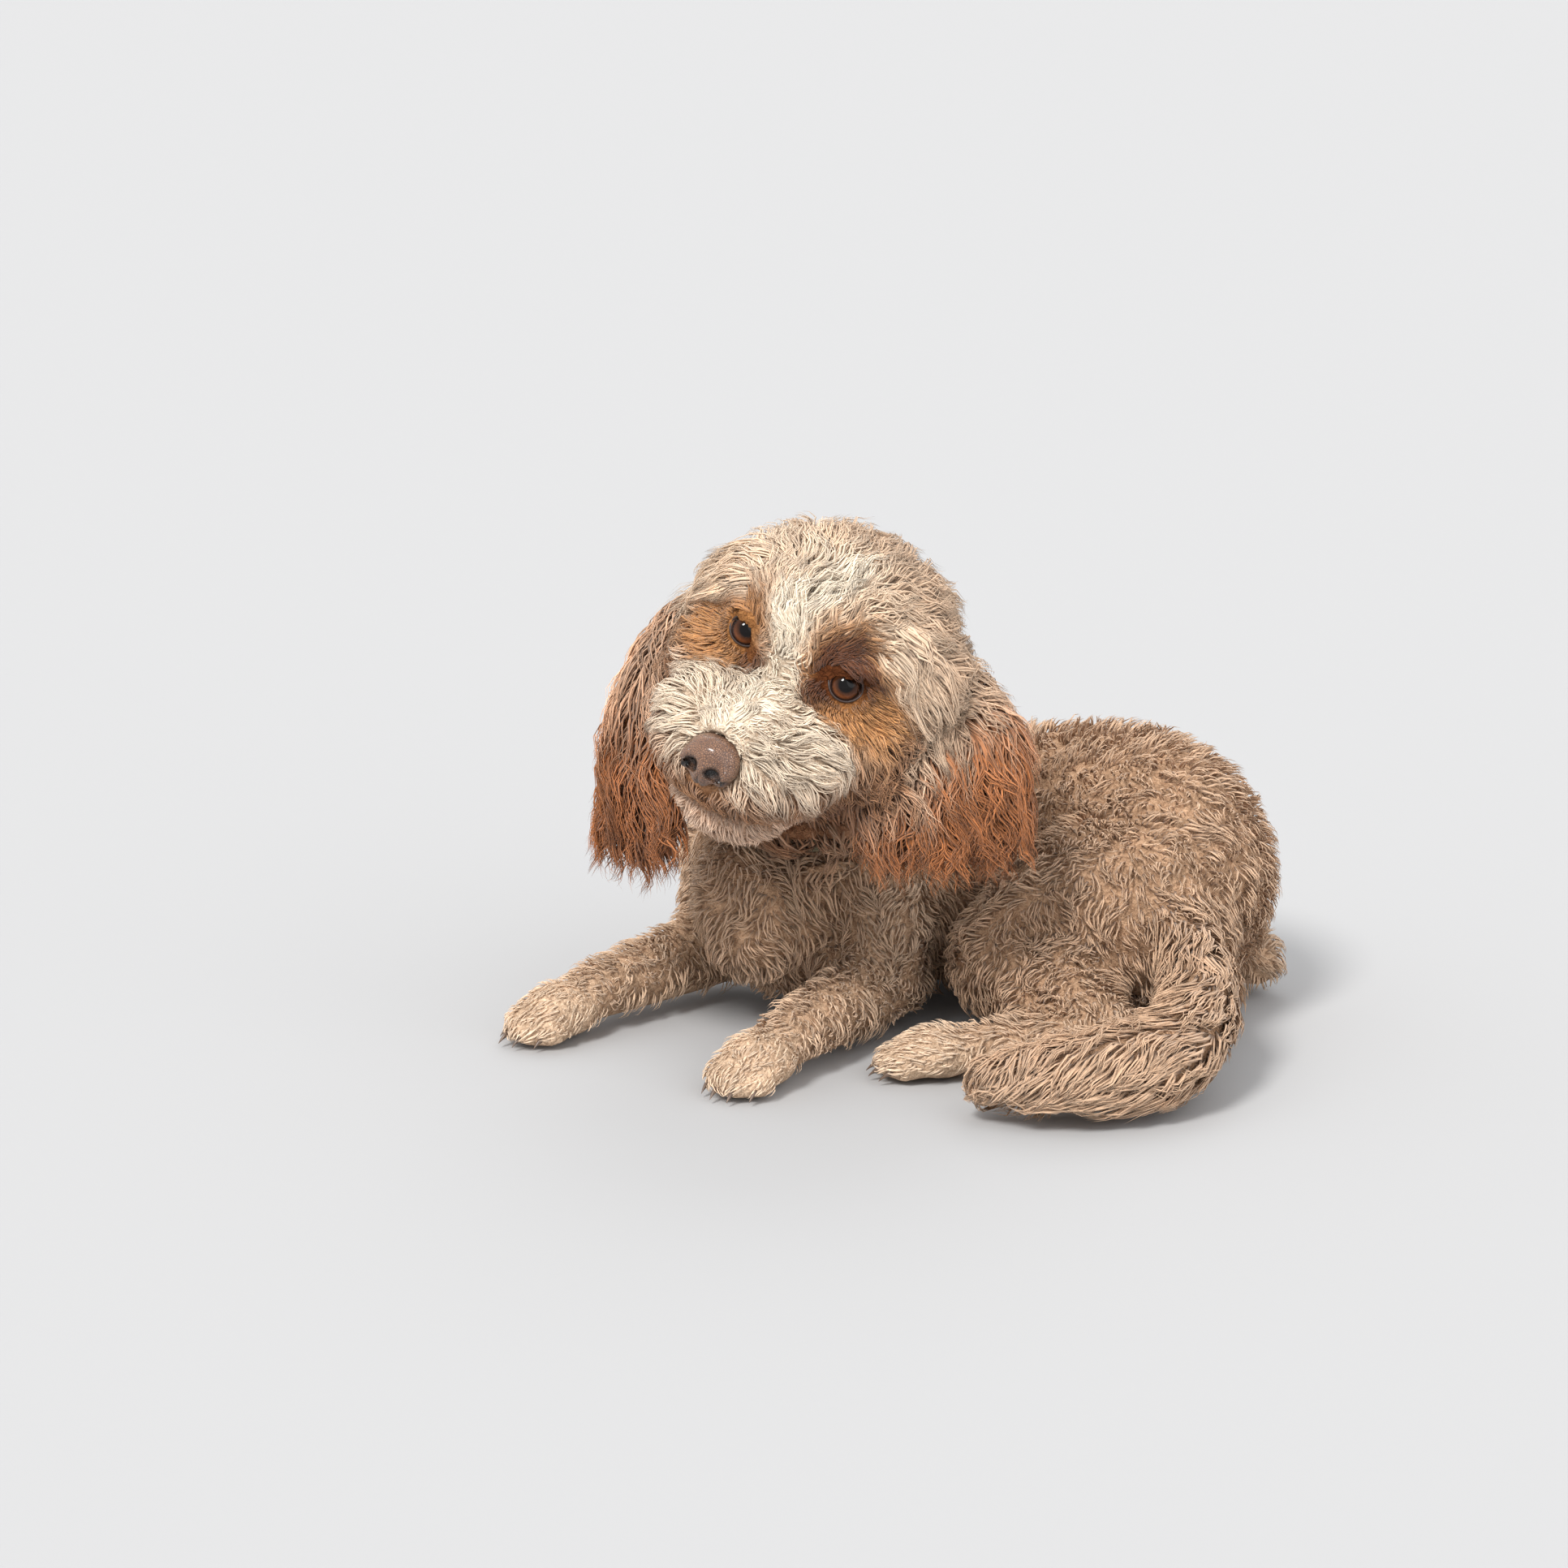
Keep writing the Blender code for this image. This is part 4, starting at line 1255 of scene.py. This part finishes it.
def make_nose():
    nose = cad_copy("nose_leather", ("nose",))
    remesh(nose, NOSE_VOXEL)
    keep_largest(nose)
    smooth(nose, 0.5, 6)
    co, no = points_of(nose), normals_of(nose)
    h = to_head(co)
    groove = np.exp(-(h[:, 0] / 0.9) ** 2) * step_up(28, 38, -h[:, 2]) * step_up(72, 78, -h[:, 1])
    hole = np.zeros(len(co))
    for wing in (-1, 1):
        d = (h - np.array([wing * 7.4, -85.0, -31.0])) / np.array([4.6, 9.0, 3.9])
        slit = (h - np.array([wing * 12.0, -79.0, -34.5])) / np.array([4.2, 7.0, 2.0])
        round_part, slit_part = np.exp(-(d ** 2).sum(1) ** 1.5), 0.8 * np.exp(-(slit ** 2).sum(1))
        hole = np.maximum(hole, np.maximum(round_part, slit_part))
    co -= no * (0.0040 * hole + 0.0014 * groove)[:, None]
    set_points(nose, co)
    smooth(nose, 0.5, 1)
    # Painted shade: near black in the nostrils, darker in the groove and over the lower half of the nose.
    nose_shade = np.clip(1.6 * hole + 0.45 * groove + 0.45 * step_up(33, 44, -h[:, 2]), 0, 1)
    store_colour(nose.data, "painted_nose_shade", columns(nose_shade, nose_shade, nose_shade, 1))
    cover_in(nose, nose_finish())
    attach(nose, "root")
    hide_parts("nose")


make_nose()


# ---------------------------------------------------------------- claws

def claw_finish():
    material, nodes, links, surface = new_material("Claw horn")
    grain = object_noise(nodes, links, 500.0)
    colour = mix_colour(nodes, links, grain, (0.05, 0.03, 0.022, 1), (0.20, 0.13, 0.09, 1))
    links.new(colour, surface.inputs["Base Color"])
    surface.inputs["Roughness"].default_value = 0.35
    return material


def make_claws():
    horn = claw_finish()
    claws = []
    for end, upper, size in (("forepaw", "foreleg", 1.0), ("hindpaw", "hindleg", 0.95)):
        for side in ("left", "right"):
            paw = points_of(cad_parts[end + "_" + side])
            middle = (paw.min(0) + paw.max(0)) / 2
            heading = unit((middle - np.array(centre(upper + "_" + side))) * np.array([1, 1, 0]))
            across = np.array([heading[1], -heading[0], 0])
            local = paw - middle
            for offset in (-15.5, -5.5, 5.5, 15.5):
                toe = np.abs(local @ across - offset * MM * size) < 4 * MM
                ahead = (local @ heading)[toe].max() if toe.any() else 0.02
                base = middle + across * offset * MM * size + heading * (ahead - 0.0045)
                claw = add_sphere(12, 8)
                ball = points_of(claw)
                reach = (ball[:, 2] + 1) / 2
                thin = 1 - 0.75 * reach
                forward = (reach - 0.3) * 0.0085
                drop = 0.0078 - 0.0050 * reach ** 2
                co = (base + heading * forward[:, None] + across * (ball[:, 0] * thin * 0.0019)[:, None])
                co[:, 2] = drop + ball[:, 1] * thin * 0.0023
                co[:, 2] = np.maximum(co[:, 2], CLAW_FLOOR_GAP)
                set_points(claw, co)
                claws.append(claw)
    pick_only(*claws)
    bpy.ops.object.join()
    claws[0].name = claws[0].data.name = "claws"
    in_edit(claws[0], lambda: bpy.ops.mesh.normals_make_consistent(inside=False))
    cover_in(claws[0], horn)
    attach(claws[0], "root")


make_claws()


# ---------------------------------------------------------------- collar

def webbing_finish():
    material, nodes, links, surface = new_material("Woven collar webbing")
    spot = nodes.new("ShaderNodeTexCoord")
    weave = nodes.new("ShaderNodeTexBrick")
    set_inputs(weave, Scale=420.0, Color1=(0.26, 0.23, 0.14, 1), Color2=(0.16, 0.145, 0.09, 1),
               Mortar=(0.05, 0.045, 0.03, 1))
    links.new(spot.outputs["Object"], weave.inputs["Vector"])
    links.new(weave.outputs["Color"], surface.inputs["Base Color"])
    add_bump(nodes, links, surface, weave.outputs["Fac"], 0.5, 0.0004)
    surface.inputs["Roughness"].default_value = 0.8
    return material


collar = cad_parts["collar"]
collar.data.materials.clear()
collar.data.materials.append(webbing_finish())


# ---------------------------------------------------------------- floor, light and camera

def make_studio():
    bpy.ops.object.select_all(action="DESELECT")
    bpy.ops.mesh.primitive_plane_add(size=60, location=(0, 20, 0))
    floor = bpy.context.object
    floor.name = "studio_floor"
    bpy.ops.object.transform_apply(location=True, rotation=False, scale=False)
    material, nodes, links, surface = new_material("Pale studio floor")
    set_inputs(surface, Base_Color=(0.44, 0.44, 0.445, 1), Roughness=0.9, Specular_IOR_Level=0.1)
    floor.data.materials.append(material)
    world = bpy.data.worlds.new("Soft studio")
    bpy.context.scene.world = world
    world.use_nodes = True
    back = world.node_tree.nodes["Background"]
    set_inputs(back, Color=(0.98, 0.99, 1.0, 1), Strength=0.95)
    # Each with its strength, the width of its disc, its way round from the camera and its height, in degrees.
    suns = (
        ("Key", 2.9, 15, -28, 46, (1.0, 0.985, 0.96)),
        ("Fill", 0.9, 60, 40, 28, (0.98, 0.99, 1.0)),
        ("Rim", 0.5, 40, 170, 45, (1.0, 1.0, 1.0)),
    )
    for name, strength, spread, turn_deg, rise_deg, colour in suns:
        lamp = bpy.data.lights.new(name, "SUN")
        lamp.energy = strength
        lamp.angle = math.radians(spread)
        lamp.color = colour
        holder = add_to_scene(name, lamp)
        a, e = math.radians(turn_deg) + CAMERA_TURN, math.radians(rise_deg)
        toward = Vector((math.sin(a) * math.cos(e), -math.cos(a) * math.cos(e), math.sin(e)))
        holder.rotation_euler = toward.to_track_quat("Z", "Y").to_euler()
        holder.location = toward * 3
    camera = bpy.data.cameras.new("Camera")
    camera.lens, camera.sensor_width = CAMERA_LENS, CAMERA_SENSOR
    camera.clip_start, camera.clip_end = 0.1, 100
    stand = add_to_scene("Camera", camera)
    level = math.cos(CAMERA_TIP)
    ahead = Vector((-math.sin(CAMERA_TURN) * level, math.cos(CAMERA_TURN) * level, -math.sin(CAMERA_TIP)))
    stand.location = HEAD_AT + Vector(CAMERA_OFFSET)
    stand.rotation_euler = ahead.to_track_quat("-Z", "Y").to_euler()
    bpy.context.scene.camera = stand
    bpy.context.scene.view_settings.view_transform = "Standard"


make_studio()
